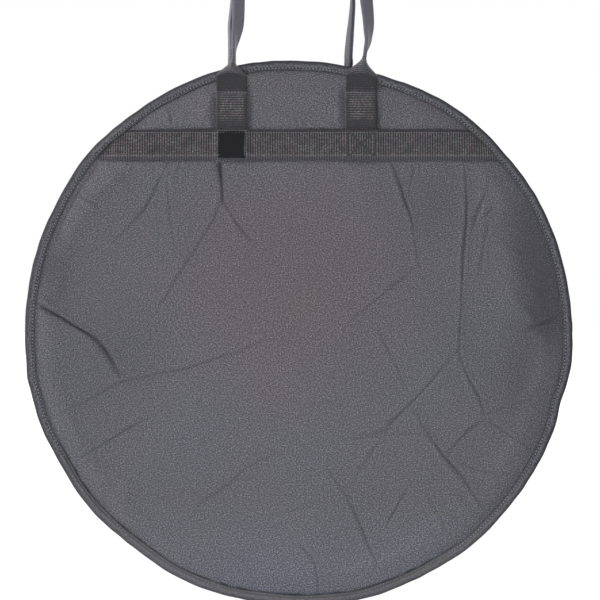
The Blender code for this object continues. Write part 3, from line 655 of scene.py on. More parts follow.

# Creases of the front: points in millimetres from the centre, then depth, width and shoulder in
# millimetres, and how much painted shade darkens the cloth along it
FRONT_CREASES = [
    ([(-267, 31), (-240, 16), (-219, 3), (-206, -5), (-196, -15), (-187, -29), (-178, -44)],
     5.2, 2.6, 1.5, 1.0),
    ([(-262, 41), (-250, 34), (-240, 26)], 1.6, 2.6, 0.5, 0.15),
    ([(-80, 188), (-79, 168), (-77, 150), (-75, 127)], 3.4, 3.4, 0.6, 0.52),
    ([(-76, 134), (-84, 114), (-92, 100), (-109, 73), (-125, 48), (-142, 18)], 1.5, 1.9, 0.5, 0.24),
    ([(-76, 134), (-65, 113), (-55, 100), (-42, 86)], 1.6, 2.0, 0.5, 0.27),
    ([(-58, 170), (-65, 154)], 0.8, 2.0, 0.3, 0.12),
    ([(-124, 186), (-129, 170), (-142, 145), (-152, 125), (-170, 105), (-190, 84)], 1.8, 1.6, 0.5, 0.28),
    ([(-131, 152), (-129, 122), (-125, 98), (-121, 76)], 1.0, 2.0, 0.3, 0.17),
    ([(-224, 142), (-210, 131), (-198, 124)], 1.2, 2.4, 0.4, 0.15),
    ([(-129, 224), (-126, 205)], 1.5, 2.0, 0.4, 0.30),
    ([(-154, 220), (-151, 207)], 1.0, 2.0, 0.3, 0.20),
    ([(86, 188), (93, 168), (101, 148), (106, 132), (113, 112), (116, 88), (121, 66)], 2.1, 1.9, 0.6, 0.42),
    ([(122, 68), (105, 55), (81, 35), (63, 20), (44, 3)], 1.1, 1.8, 0.4, 0.23),
    ([(117, 172), (113, 152), (110, 136)], 1.0, 2.0, 0.3, 0.12),
    ([(163, 190), (165, 170), (168, 140), (168, 112), (165, 82), (163, 42), (161, 0), (160, -26)],
     2.1, 1.7, 0.7, 0.44),
    ([(160, -18), (165, -34), (171, -48), (181, -66), (186, -84)], 1.6, 1.9, 0.5, 0.26),
    ([(160, -18), (141, -40), (125, -58), (110, -73), (95, -88), (83, -99), (55, -105)], 1.4, 2.1, 0.4, 0.22),
    ([(191, 152), (186, 136), (179, 120), (170, 92)], 1.8, 2.4, 0.6, 0.20),
    ([(199, 126), (188, 117), (177, 108)], 1.0, 2.0, 0.3, 0.12),
    ([(191, 112), (186, 90), (180, 58)], 1.3, 2.2, 0.4, 0.20),
    ([(228, 2), (246, 9), (266, 15)], 1.5, 2.6, 1.1, 0.12),
    ([(184, -83), (204, -77), (233, -69)], 1.0, 2.0, 0.3, 0.12),
    ([(186, -84), (204, -98), (224, -111), (236, -119)], 1.1, 2.0, 0.3, 0.15),
    ([(117, -78), (125, -95), (135, -110), (148, -127), (165, -147), (178, -167), (190, -184)],
     1.8, 2.1, 0.6, 0.28),
    ([(186, -88), (171, -98), (158, -111), (147, -125)], 1.2, 2.0, 0.4, 0.19),
    ([(156, -129), (178, -137), (200, -143)], 0.9, 2.0, 0.3, 0.11),
    ([(125, -156), (138, -178), (147, -195)], 0.9, 2.0, 0.3, 0.11),
    ([(108, -158), (98, -175), (88, -194)], 1.4, 2.0, 0.4, 0.21),
    ([(27, -134), (41, -153), (55, -178), (63, -196), (71, -215), (82, -238)], 1.6, 2.0, 0.5, 0.25),
    ([(82, -108), (71, -123), (64, -134), (56, -147)], 1.0, 2.0, 0.3, 0.17),
    ([(2, -212), (10, -222), (16, -232), (19, -250), (17, -264)], 1.3, 2.0, 0.4, 0.22),
    ([(78, 8), (88, -15), (98, -35), (109, -58)], 1.0, 2.0, 0.3, 0.18),
    ([(35, -107), (62, -105), (95, -101), (135, -102)], 0.8, 2.2, 0.3, 0.10),
    ([(-222, -129), (-202, -116), (-182, -104), (-169, -96), (-147, -85)], 1.5, 2.1, 0.5, 0.21),
    ([(-239, -81), (-206, -66), (-182, -53), (-159, -46), (-136, -41), (-106, -35), (-74, -24)],
     1.1, 2.1, 0.4, 0.21),
    ([(-110, -36), (-82, -27), (-62, -21), (-39, -10), (-19, -7), (6, -13)], 0.8, 2.2, 0.3, 0.12),
    ([(-108, -183), (-92, -167), (-80, -159), (-62, -145), (-49, -134), (-17, -119)], 1.0, 2.0, 0.4, 0.18),
    ([(-26, -185), (0, -177), (28, -171)], 0.6, 2.2, 0.2, 0.08),
    ([(-94, -60), (-105, -84)], 0.6, 2.0, 0.2, 0.08),
    # These three are mostly painted shade: a dark band inside the binding high on the left, and dark lines
    # where the cover bulges over the binding low down
    ([(-194, 172), (-214, 147), (-227, 125), (-238, 103), (-249, 74)], 1.2, 3.4, 0.0, 0.36),
    ([(246, -82), (225, -130), (199, -167), (167, -199), (128, -226)], 0.6, 2.4, 0.0, 0.22),
    ([(-128, -226), (-174, -193), (-210, -153), (-239, -101)], 0.6, 2.4, 0.0, 0.18),
    ([(-60, -40), (-20, -52), (30, -58)], 0.4, 5.0, 0.2, 0.0),
    ([(20, 60), (60, 20), (75, -30)], 0.4, 5.0, 0.2, 0.0),
    ([(-120, -150), (-80, -170), (-50, -200)], 0.6, 4.2, 0.3, 0.0),
]

# Creases of the back, which the photograph doesn't show
BACK_CREASES = [
    ([(-250, -60), (-214, -48), (-180, -52), (-150, -70)], 2.6, 2.4, 0.9, 0.40),
    ([(-120, 170), (-134, 140), (-140, 104)], 1.8, 2.2, 0.6, 0.28),
    ([(60, 172), (66, 140), (58, 108)], 1.8, 2.2, 0.6, 0.28),
    ([(150, 168), (160, 120), (154, 70), (166, 20)], 2.0, 2.1, 0.7, 0.35),
    ([(166, 22), (140, -16), (112, -36)], 1.3, 2.2, 0.4, 0.20),
    ([(240, -40), (206, -58), (182, -84)], 1.8, 2.4, 0.6, 0.28),
    ([(90, -140), (112, -172), (120, -206)], 1.6, 2.2, 0.5, 0.25),
    ([(-60, -190), (-40, -220), (-44, -250)], 1.4, 2.2, 0.5, 0.20),
    ([(-30, 60), (-52, 20), (-40, -30)], 0.6, 5.0, 0.2, 0.0),
]
CREASES = {FRONT: FRONT_CREASES, BACK: BACK_CREASES}

# Factors on the depth, the width and the shade of every crease
CREASE_DEPTH = 1.05
CREASE_WIDTH = 0.72
CREASE_SHADE = 1.9

# Broad swells and hollows: place, reach across and up, and rise, all in millimetres. A hollow also gets
# painted shade
SWELLS = {
    FRONT: [
        ((249, 8), (20, 28), -1.9), ((244, 43), (20, 28), -1.9), ((235, 78), (20, 28), -1.9),
        ((222, 110), (20, 28), -1.7), ((226, -50), (26, 60), -1.0), ((196, 60), (22, 70), 0.6),
        ((-250, 66), (20, 34), -1.6), ((150, -218), (46, 22), 1.2), ((-120, -236), (60, 18), 1.0),
        ((0, -60), (110, 90), 0.8), ((-176, -25), (58, 62), -0.7), ((145, 5), (60, 75), -0.35),
        ((140, 130), (30, 40), -0.6),
    ],
    BACK: [((-220, 40), (30, 60), -0.9), ((120, -180), (60, 40), 1.2), ((40, 20), (110, 80), 0.8)],
}


def curve_between(a, b, c, d, t):
    """The smooth curve from b to c with a before and d after them, at shares t of the way."""
    return 0.5 * (2 * b + (c - a) * t + (2 * a - 5 * b + 4 * c - d) * t**2 + (3 * b - a - 3 * c + d) * t**3)


def smooth_path(points, step):
    """A smooth curve through points, with a point about every step."""
    points = np.array(points, float)
    ends = np.vstack([2 * points[0] - points[1], points, 2 * points[-1] - points[-2]])
    out = []
    for k in range(1, len(ends) - 2):
        a, b, c, d = ends[k - 1 : k + 3]
        count = max(2, int(np.linalg.norm(c - b) / step))
        out.append(curve_between(a, b, c, d, np.linspace(0, 1, count, endpoint=False)[:, None]))
    return np.vstack([*out, points[-1:]])


def turn_from(angle, middle):
    """Degrees from a direction on the disc to an angle in radians, the shorter way round."""
    return (np.degrees(angle) - middle + 180) % 360 - 180


def rim_shift(side, angle):
    """How far the outline leaves its circle at an angle in radians."""
    shift = np.zeros_like(angle)
    for middle, reach, amount in RIM_WAVES[side]:
        shift = shift + amount * bump(turn_from(angle, middle), reach)
    return shift


def soft_noise(x, height, size, seed):
    """Smooth noise about 0 over places on the disc, with bumps about that size."""
    points = zip((x / size).ravel(), (height / size).ravel())
    values = [noise.noise((a, b, seed)) for a, b in points]
    return np.array(values).reshape(x.shape)


def crease_depth(side, x, height):
    """Valleys of the creases with a soft shoulder on both sides, and the painted shade of the cloth along
    them.
    """
    total = np.zeros_like(x)
    shade = np.zeros_like(x)
    for points, depth, width, shoulder, painted_shade in CREASES[side]:
        path = smooth_path(np.array(points) * MM, 1 * MM)
        reach = np.linalg.norm(path - path.mean(0), axis=1).max() + 22 * MM
        chosen = np.hypot(x - path[:, 0].mean(), height - path[:, 1].mean()) < reach
        distance = np.hypot(x[chosen][:, None] - path[:, 0], height[chosen][:, None] - path[:, 1])
        run = distance.argmin(axis=1) / (len(path) - 1)
        away = distance.min(axis=1)
        fade = np.sin(np.pi * np.clip(run * 0.94 + 0.03, 0, 1)) ** 0.6
        wander = (0.85 + 0.30 * np.sin(run * 9 + depth * 5)) * CREASE_WIDTH * width * MM
        sides = shoulder * bump(away - 2.6 * wander, 1.8 * wander)
        total[chosen] += fade * (sides - CREASE_DEPTH * depth * bump(away, wander)) * MM
        line = min(1.0, CREASE_SHADE * painted_shade) * fade * bump(away, 0.70 * wander)
        shade[chosen] = np.maximum(shade[chosen], line)
    return total, shade


def swell(side, x, height):
    """Broad hollows and swells of a face."""
    total = np.zeros_like(x)
    for (cx, ch), (rx, rh), rise in SWELLS[side]:
        total = total + rise * MM * bump(np.hypot((x / MM - cx) / rx, (height / MM - ch) / rh), 1.0)
    return total


def leg_mask(side, x, height, margin):
    """1 on the cloth under the legs of a handle and 0 away from them."""
    total = np.zeros_like(x)
    for leg in LEGS[side]:
        beside = 1 - ease((np.abs(x - leg) - WEBBING_WIDTH / 2) / margin)
        above = ease((height - CROSS_HEIGHT) / margin) * (1 - ease((height - STITCH_ROW - 6 * MM) / margin))
        total = np.maximum(total, beside * above)
    return total


def strap_mask(side, x, height, margin):
    """1 on the cloth under all straps and 0 away from them."""
    cross = 1 - ease((np.abs(height - CROSS_HEIGHT) - WEBBING_WIDTH / 2) / margin)
    return np.maximum(cross, leg_mask(side, x, height, margin))


# Where the cover meets its binding, along which runs a line of painted shade, and where the cover bulges over
# the stitches, in degrees
SEAM_RADIUS = BINDING_EDGE - 1.0 * MM
SEAM_WIDTH = 1.3 * MM
BULGE_MIDDLE = 254
BULGE_HALF = 42
BULGE_FADE = 14

# Waves of a face: size across, seed and height in millimetres
WAVES = [(0.085, 3.1, 1.7), (0.034, 7.7, 0.55), (0.013, 11.3, 0.16)]
STRAP_PRESS = 0.7 * MM
STRAP_GROOVE = 2.0 * MM


def seam_share(angle):
    """1 along the bottom, where the cover bulges against its binding and hides the stitches, and where the
    painted shade along the seam is darkest.
    """
    return 1 - ease((np.abs(turn_from(angle, BULGE_MIDDLE)) - BULGE_HALF) / BULGE_FADE)


def rolled(radius):
    """0 on the open face and 1 where it has rolled down to the binding."""
    return ease((radius - ROLL_RADIUS) / ROLL_REACH)


def flat_level(radius):
    """Level of the smooth face: crowned in the middle, rounded down to the binding."""
    fall = ease((radius - FLAT_RADIUS) / (ROLL_RADIUS - FLAT_RADIUS))
    crown = PLATEAU_LEVEL + (CROWN_LEVEL - PLATEAU_LEVEL) * (1 - fall)
    run = np.clip((radius - ROLL_RADIUS) / (BINDING_EDGE - ROLL_RADIUS), 0, 1)
    return COVER_EDGE + (crown - COVER_EDGE) * (1 - run**2.4)


# The creases fade out from this radius on, over this width
CREASE_END = 0.256
CREASE_FADE = 0.008


def face_level(side, x, height, settled=0.0):
    """Level of the cloth of a face, with its crown, creases, waves and puckers, and its painted shade along
    the creases, beside the straps, in the hollows and along the seam.
    """
    radius = np.hypot(x, height)
    angle = np.arctan2(height, x)
    inside = 1 - rolled(radius)
    free = inside * (1 - strap_mask(side, x, height, 7 * MM))
    rough = sum(soft_noise(x, height, size, seed * side) * rise * MM for size, seed, rise in WAVES)
    broad = swell(side, x, height)
    puckers = np.sin(angle * 61 + 2.0 * np.sin(angle * 7)) * np.sin(angle * 23 + 1.3)
    at_rim = bump(BINDING_EDGE - 7 * MM - radius, 8 * MM) * 0.60 * MM
    strap_edge = np.abs(np.abs(height - CROSS_HEIGHT) - WEBBING_WIDTH / 2)
    ticks = np.sin(x * 430 + 2 * np.sin(x * 61)) * bump(strap_edge - 4 * MM, 5 * MM) * 0.35 * MM * free
    valleys, shade = crease_depth(side, x, height)
    kept = (1 - ease((radius - CREASE_END) / CREASE_FADE)) * (1 - strap_mask(side, x, height, 3 * MM))
    clear = 1 - strap_mask(side, x, height, 1 * MM)
    # Painted shade beside the straps, where the cloth also sinks into a groove: strong above the cross strap
    # and by the legs, weak below it
    along_strap = np.where(height > CROSS_HEIGHT, 0.7, 0.25) * strap_mask(side, x, height, 3 * MM)
    beside = np.maximum(leg_mask(side, x, height, 9 * MM), along_strap) * clear
    groove = -STRAP_GROOVE * beside
    pressed = -STRAP_PRESS * strap_mask(side, x, height, 9 * MM)
    waves = (rough + settled + broad) * free + ticks + puckers * at_rim
    # Painted shade in the hollows, darker where they are deeper
    hollow_shade = np.clip(-broad / MM, 0, 3) * 0.22
    # A line of painted shade along the seam with the binding, broken along the rim and darkest at the bottom
    broken = 0.65 + 0.35 * np.sin(angle * 53 + 2.5 * np.sin(angle * 17))
    seam = (0.20 + 0.80 * seam_share(angle) * broken) * bump(radius - SEAM_RADIUS, SEAM_WIDTH)
    # All painted shade of the face together
    shade = np.maximum.reduce([shade * kept, 0.45 * beside * inside, hollow_shade, seam])
    return flat_level(radius) + waves + valleys * kept + (groove + pressed) * inside, shade


def seat_level(x, height):
    """Level of the cloth under a strap."""
    radius = np.hypot(x, height)
    return flat_level(radius) - STRAP_PRESS * (1 - rolled(radius))


def disc_grid(count):
    """Places of a square grid drawn over a disc of radius 1, its edge on the circle."""
    line = np.linspace(-1, 1, count + 1)
    a, b = np.meshgrid(line, line, indexing="ij")
    safe_a = np.where(a == 0, 1, a)
    safe_b = np.where(b == 0, 1, b)
    wide = np.abs(a) >= np.abs(b)
    radius = np.where(wide, a, b)
    angle = np.where(wide, math.pi / 4 * b / safe_a, math.pi / 2 - math.pi / 4 * a / safe_b)
    x = radius * np.cos(angle)
    height = radius * np.sin(angle)
    return x, height


def edge_loop(count):
    """Indices of the grid's edge, in order round the disc."""
    size = count + 1
    first = [(i, 0) for i in range(count)]
    second = [(count, j) for j in range(count)]
    third = [(i, count) for i in range(count, 0, -1)]
    fourth = [(0, j) for j in range(count, 0, -1)]
    return [i * size + j for i, j in first + second + third + fourth]


# Cells across a panel and a lining, and how far the map of a panel is moved
PANEL_GRID = {FRONT: 480, BACK: 300}
LINING_GRID = 110
MAP_SHIFT = {FRONT: 0.0, BACK: 1.0}

# Where the panel starts to follow its outline and over how much, as shares of its radius
FOLLOW_FROM = 0.70
FOLLOW_REACH = 0.30

# Rings of the flat skin inside a panel, as shares of its rim, and the rim's points to one of theirs
INNER_RINGS = np.linspace(0.99, 0.02, 60)
INNER_SKIP = 4

# How the cover settles as cloth: cells across, frames, and the most that it may rise or sink
CLOTH_GRID = 96
CLOTH_FRAMES = 22
CLOTH_CAP = 2.6 * MM
CLOTH_SETTINGS = {
    "quality": 5,
    "mass": 0.3,
    "tension_stiffness": 25,
    "compression_stiffness": 25,
    "shear_stiffness": 6,
    "bending_stiffness": 0.6,
    "vertex_group_mass": "held",
    "shrink_min": -0.014,
    "use_pressure": True,
}
CLOTH_PRESSURE = 1.5


def settle(side):
    """Simulates the cover of one face as cloth that is a little too large for its disc.

    The cloth is held at the binding and under the straps and pressed out by the foam. The result is
    how far each place of the coarse grid rose or sank.
    """
    x, height = (run * COVER_RADIUS for run in disc_grid(CLOTH_GRID))
    level, _ = face_level(side, x, height)
    points = place(x, side * level, height)
    size = CLOTH_GRID + 1
    line = np.arange(size) * MM
    mesh = grid_mesh(f"settling_{side}", points, line, line)
    sheet = linked(mesh.name, mesh)
    held = np.maximum(strap_mask(side, x, height, 4 * MM), rolled(np.hypot(x, height))).ravel()
    group = sheet.vertex_groups.new(name="held")
    for index, weight in enumerate(held):
        group.add([index], float(weight), "REPLACE")
    cloth = sheet.modifiers.new("settle", "CLOTH")
    for key, value in CLOTH_SETTINGS.items():
        setattr(cloth.settings, key, value)
    cloth.settings.effector_weights.gravity = 0
    outwards = side * (1 if mesh.polygons[0].normal.y * side > 0 else -1)
    cloth.settings.uniform_pressure_force = CLOTH_PRESSURE * outwards
    cloth.collision_settings.use_self_collision = False
    cloth.point_cache.frame_start = 1
    cloth.point_cache.frame_end = CLOTH_FRAMES
    scene = bpy.context.scene
    for moment in range(1, CLOTH_FRAMES + 1):
        scene.frame_set(moment)
    graph = bpy.context.evaluated_depsgraph_get()
    settled = np.zeros(size * size * 3, np.float32)
    sheet.evaluated_get(graph).data.vertices.foreach_get("co", settled)
    risen = (settled.reshape(size, size, 3)[..., 1] * side - points[..., 1] * side).astype(float)
    bpy.data.objects.remove(sheet)
    scene.frame_set(1)
    return CLOTH_CAP * np.tanh(risen / CLOTH_CAP)


def finer(values, count):
    """Values of a square grid read on a finer grid, smoothly."""
    def stretch(rows, total):
        at = np.linspace(0, len(rows) - 1, total + 1)
        k = np.clip(at.astype(int), 0, len(rows) - 2)
        a, b, c, d = (rows[np.clip(k + o, 0, len(rows) - 1)] for o in (-1, 0, 1, 2))
        return curve_between(a, b, c, d, (at - k)[:, None])

    return stretch(stretch(values, count).T, count).T


def close_inside(mesh, rim, loop, side):
    """Closes a panel behind its foam: a flat skin of rings from the rim in to a hub."""
    shape = bmesh.new()
    shape.from_mesh(mesh)
    shape.verts.ensure_lookup_table()
    previous = [shape.verts[index] for index in loop]
    skipped = INNER_SKIP
    level = np.full(len(loop), side * PANEL_INNER)
    for share in INNER_RINGS:
        ring = np.stack([rim[:, 0] * share, level, rim[:, 2] * share], 1)[::INNER_SKIP]
        current = [shape.verts.new(Vector(p + CENTRE)) for p in ring]
        for k, vertex in enumerate(current):
            after = current[(k + 1) % len(current)]
            outside = [previous[(k * skipped + step) % len(previous)] for step in range(skipped + 1)]
            shape.faces.new([*outside, after, vertex])
        previous = current
        skipped = 1
    hub = shape.verts.new(Vector(CENTRE + np.array([0, side * PANEL_INNER, 0])))
    for k in range(len(previous)):
        shape.faces.new((previous[k], previous[(k + 1) % len(previous)], hub))
    shape.to_mesh(mesh)
    shape.free()


def make_panel(name, side):
    """A padded panel as one closed form: the creased cover outside and the flat foam inside."""
    count = PANEL_GRID[side]
    unit_x, unit_height = disc_grid(count)
    settled = finer(settle(side), count)
    x = unit_x * COVER_RADIUS
    height = unit_height * COVER_RADIUS
    level, shade = face_level(side, x, height, settled)
    radius = np.hypot(unit_x, unit_height)
    shift = rim_shift(side, np.arctan2(unit_height, unit_x)) * ease((radius - FOLLOW_FROM) / FOLLOW_REACH)
    grow = 1 + shift / COVER_RADIUS
    points = place(x * grow, side * level, height * grow)
    line = np.arange(count + 1) * MM
    mesh = grid_mesh(name, points, line, line)
    # The fold attribute carries the painted shade of the face
    mesh.attributes.new("fold", "FLOAT", "POINT").data.foreach_set("value", shade.astype(np.float32).ravel())
    loop = edge_loop(count)
    close_inside(mesh, points.reshape(-1, 3)[loop] - CENTRE, loop, side)
    piece = shown(name, mesh, FINISHES["cover"])
    flat_map(piece, MAP_SHIFT[side])
    return piece


# The slack of the lining ends at this radius, and small folds lie along its hem
SLACK_END = 0.24
HEM_RADIUS = 0.25
HEM_WIDTH = 0.02


def make_lining(name, side):
    """A thin lining behind the foam, with slack folds that run in from its edge."""
    x, height = (run * LINING_RADIUS for run in disc_grid(LINING_GRID))
    angle = np.arctan2(height, x)
    radius = np.hypot(x, height)
    slack = soft_noise(x, height, 0.05, 21.0 * side) * 0.5 * MM * (1 - ease((radius - SLACK_END) / HEM_WIDTH))
    folds = np.sin(angle * 38 + np.sin(angle * 9)) * bump(radius - HEM_RADIUS, HEM_WIDTH) * 0.18 * MM
    level = LINING_OUTER - LINING_THICKNESS / 2 - np.abs(slack) - np.abs(folds)
    line = np.arange(LINING_GRID + 1) * MM
    piece = shown(name, grid_mesh(name, place(x, side * level, height), line, line), FINISHES["lining"])
    flat_map(piece)
    return thickened(piece, LINING_THICKNESS * 0.5, 0)


# Edges: binding, gusset and zip tapes swept round the rim

def sweep(name, section, angles, finish, closed=True, wave=None):
    """Sweeps a closed section of (radius, level) points round the disc.

    wave takes the stations' angles and the section's places and gives what it adds to the radius
    and the level.
    """
    section = np.array(section, float)
    radius = np.broadcast_to(section[:, 0], (len(angles), len(section))).copy()
    level = np.broadcast_to(section[:, 1], (len(angles), len(section))).copy()
    if wave is not None:
        more_radius, more_level = wave(angles[:, None], np.arange(len(section))[None, :])
        radius += more_radius
        level += more_level
    turn = angles[:, None]
    points = place(radius * np.cos(turn), level, radius * np.sin(turn))
    lengths = np.hypot(*(np.diff(np.vstack([section, section[:1]]), axis=0).T))
    across = np.concatenate([[0], np.cumsum(lengths)])
    step = angles[1] - angles[0]
    along = np.append(angles, angles[-1] + step) * BAG_RADIUS
    mesh = grid_mesh(name, points, along, across, close_u=closed, close_v=True, caps=not closed)
    return shown(name, mesh, finish)


def band_section(middle, thickness):
    """Closed section of a cloth band from the points of its middle line, with rounded edges."""
    middle = np.array(middle, float)
    along = np.gradient(middle, axis=0)
    along /= np.linalg.norm(along, axis=1)[:, None]
    out = np.stack([-along[:, 1], along[:, 0]], axis=1) * thickness / 2
    start = middle[0] - along[0] * thickness * 0.35
    end = middle[-1] + along[-1] * thickness * 0.35
    return np.vstack([middle + out, end[None], (middle - out)[::-1], start[None]])


# Steps round the rim of what is swept there, of the binding's sewing and of the teeth
BINDING_STEPS = 1440
GUSSET_STEPS = 760
ZIP_STEPS = 620
SEWING_STEPS = 720
TEETH_STEPS = 400

# Where the ends of the cross strap go under the binding and how wide they lift it, in degrees
STRAP_ENDS = (45.5, 134.5)
STRAP_END_HALF = 3.6
STRAP_END_FADE = 1.6


def round_the_rim(count):
    """Angles once round the disc, from its lowest point."""
    return np.linspace(-math.pi / 2, 1.5 * math.pi, count, endpoint=False)


def strap_window(angle):
    """1 where an end of the cross strap goes under the binding."""
    total = np.zeros_like(angle)
    for middle in STRAP_ENDS:
        away = np.abs(turn_from(angle, middle))
        total = total + (1 - ease((away - STRAP_END_HALF) / STRAP_END_FADE))
    return total


def make_binding(name, side):
    """Tape folded over the rim of a panel and sewn through, slightly gathered by its stitches."""
    outer_middle = BINDING_OUTER - TAPE_THICKNESS / 2
    inner_middle = BINDING_INNER + TAPE_THICKNESS / 2
    half = (outer_middle - inner_middle) / 2
    turn_radius = BAG_RADIUS - TAPE_THICKNESS / 2 - half
    middle_level = (outer_middle + inner_middle) / 2
    outer_leg = [(r, outer_middle) for r in np.linspace(BINDING_EDGE, turn_radius, 8)]
    turn = [
        (turn_radius + half * math.cos(t), middle_level + half * math.sin(t))
        for t in np.linspace(math.pi / 2, -math.pi / 2, 9)[1:-1]
    ]
    inner_leg = [(r, inner_middle) for r in np.linspace(turn_radius, BINDING_EDGE, 5)]
    section = band_section(outer_leg + turn + inner_leg, TAPE_THICKNESS)
    section[:, 1] *= side
    angles = round_the_rim(BINDING_STEPS)
    outer_half = (section[:, 1] * side > middle_level).astype(float)
    from_edge = section[:, 0] - BINDING_EDGE
    follows = np.maximum(outer_half, np.clip(from_edge / (turn_radius - BINDING_EDGE), 0, 1))

    def wave(angle, index):
        on_outer = outer_half[index]
        inward = from_edge[index]
        sewn = bump(inward - BINDING_ROW, 0.9 * MM)
        puffed = bump(inward - 5.2 * MM, 2.4 * MM)
        pitch = np.cos(angle * BAG_RADIUS * 2 * math.pi / STITCH_PITCH)
        lumps = np.sin(angle * 47 + 2 * np.sin(angle * 11)) * np.sin(angle * 19 + 0.7)
        level = (-0.38 - 0.08 * pitch) * sewn + (0.50 + 0.30 * lumps) * puffed
        level = level + 0.15 * np.sin(angle * 31 + 1.0) * (1 - ease(inward / (3 * MM)))
        lifted = strap_window(angle) * (1 - ease((inward - 2.5 * MM) / (5 * MM))) * 1.6
        ragged = 0.35 * np.sin(angle * 27 + 0.4) * (1 - ease(inward / (2 * MM)))
        radius = 0.25 * lumps * ease(inward / (6 * MM)) + ragged
        radius = radius * MM + rim_shift(side, angle) * follows[index]
        return radius, side * (level + lifted) * on_outer * MM

    return sweep(name, section, angles, FINISHES["binding"], True, wave)


def make_binding_sewing(name, side):
    """The row of stitches in the binding, lifted over the strap's ends and sunk where the cover bulges."""
    angles = round_the_rim(SEWING_STEPS)
    radius = BINDING_EDGE + BINDING_ROW + rim_shift(side, angles)
    lift = (strap_window(angles) * 1.5 - seam_share(angles) * 0.42) * MM
    level = side * (BINDING_OUTER - 0.12 * MM + lift)
    path = place(radius * np.cos(angles), level, radius * np.sin(angles))
    return stitches(name, [(path, True)], FINISHES["grey_thread"], BINDING_STITCH)


# Gusset and zip tapes: their edge in the binding, how round they turn into the wall, and the free edges
FLANGE_RADIUS = COVER_RADIUS - 1 * MM
GUSSET_TURN = 0.8 * MM
GUSSET_FREE = 0.001
ZIP_TURN = 0.7 * MM
ZIP_TAPE_THICKNESS = 0.8 * MM
ZIP_TAPE_EDGE = 0.0036


def flange_share(section):
    """0 on the wall between the panels, up to 1 at the edge that lies in the binding."""
    return np.clip((section[:, 0] - GUSSET_RADIUS) / (FLANGE_RADIUS - GUSSET_RADIUS), 0, 1)


def on_wall(section):
    """Which points of a section lie on the wall between the panels."""
    return section[:, 0] < GUSSET_RADIUS + 1 * MM


def make_gusset():
    """The strip that joins the panels round the lower part, a little slack between its seams."""
    start = -math.pi + ZIP_SIDE_ANGLE + GUSSET_FREE
    end = -ZIP_SIDE_ANGLE - GUSSET_FREE
    angles = np.linspace(start, end, GUSSET_STEPS)
    wall = GUSSET_LEVEL - GUSSET_THICKNESS / 2
    flange = [(r, wall) for r in np.linspace(FLANGE_RADIUS, GUSSET_RADIUS + GUSSET_TURN, 4)]
    levels = np.linspace(wall - GUSSET_TURN, -wall + GUSSET_TURN, 13)
    across = [(GUSSET_RADIUS, level) for level in levels]
    other = [(r, -level) for r, level in reversed(flange)]
    section = band_section(flange + across + other, GUSSET_THICKNESS)
    flat = np.abs(section[:, 1])
    level_of = section[:, 1]

    def wave(angle, index):
        slack = (1 - np.clip(flat[index] / wall, 0, 1) ** 2) * on_wall(section)[index]
        lumps = np.sin(angle * 33 + 1.7 * np.sin(angle * 13))
        lumps = lumps + 0.5 * np.sin(angle * 71 + level_of[index] * 300)
        rim = np.where(level_of[index] < 0, rim_shift(FRONT, angle), rim_shift(BACK, angle))
        return slack * (0.55 + 0.35 * lumps) * MM + rim * flange_share(section)[index], 0.0 * angle * slack

    return sweep("gusset_strip", section, angles, FINISHES["cover"], False, wave)


def make_zip_tape(name, side):
    """One zip tape: its flange turns into the binding and its corded edge carries the teeth."""
    angles = np.linspace(-ZIP_SIDE_ANGLE, math.pi + ZIP_SIDE_ANGLE, ZIP_STEPS)
    wall = GUSSET_LEVEL - GUSSET_THICKNESS / 2
    flange = [(r, wall) for r in np.linspace(FLANGE_RADIUS, GUSSET_RADIUS + ZIP_TURN, 4)]
    band = [(GUSSET_RADIUS, level) for level in np.linspace(wall - ZIP_TURN, ZIP_TAPE_EDGE, 5)]
    section = band_section(flange + band, ZIP_TAPE_THICKNESS)
    section[:, 1] *= side

    def wave(angle, index):
        ripple = np.sin(angle * 57 + 1.3 * np.sin(angle * 15)) * 0.10 * MM
        ripple = ripple * on_wall(section)[index]
        return ripple + rim_shift(side, angle) * flange_share(section)[index], 0.0 * angle * index

    return sweep(name, section, angles, FINISHES["zip_tape"], False, wave)


# Teeth and the cord that they grip: angle left free at each end, and the cord's level and halves
TEETH_FREE = 0.016
TEETH_LEVEL = 0.00185
CORD_FREE = 0.012
CORD_LEVEL = 3.35 * MM
CORD_HALF = (1.15 * MM, 0.85 * MM)


def make_teeth(name, side):
    """Moulded teeth along the edge of a tape, half a pitch on at the back, and the cord they grip."""
    shift = 0.0 if side == FRONT else TOOTH_PITCH / 2 / GUSSET_RADIUS
    start = -ZIP_SIDE_ANGLE + TEETH_FREE + shift
    end = math.pi + ZIP_SIDE_ANGLE - TEETH_FREE + shift
    angles = np.linspace(start, end, TEETH_STEPS)
    path = place(GUSSET_RADIUS * np.cos(angles), side * TEETH_LEVEL, GUSSET_RADIUS * np.sin(angles))
    heads = stitches(f"{name}_heads", [(path, False)], FINISHES["teeth"], TOOTH)
    angles = np.linspace(-ZIP_SIDE_ANGLE + CORD_FREE, math.pi + ZIP_SIDE_ANGLE - CORD_FREE, ZIP_STEPS)
    out, up = CORD_HALF
    turns = np.linspace(0, 2 * math.pi, 9)[:-1]
    ring = [(GUSSET_RADIUS + out * math.cos(t), side * (CORD_LEVEL + up * math.sin(t))) for t in turns]
    return heads, sweep(f"{name}_cord", ring, angles, FINISHES["teeth"], False)


# Straps and handles

# Air under a strap, and how finely its ribs, its straps and its arch are drawn
STRAP_LIFT = 0.15 * MM
RIB_STEP = RIB_PITCH / 5
CROSS_COLUMNS = 17
HANDLE_COLUMNS = 19
STRAP_STEPS = 420
ARCH_STEPS = 260


def webbing_ring(columns):
    """Offsets round the section of the webbing: across, out, and the place across for its map."""
    half = WEBBING_WIDTH / 2
    across = np.linspace(-half, half, columns)
    edge = WEBBING_THICKNESS / 2
    top = [(a, edge, a) for a in across]
    right = [(half + edge * 0.45, 0.0, half)]
    bottom = [(a, -edge, a) for a in across[::-1]]
    left = [(-half - edge * 0.45, 0.0, -half)]
    return np.array(top + right + bottom + left)


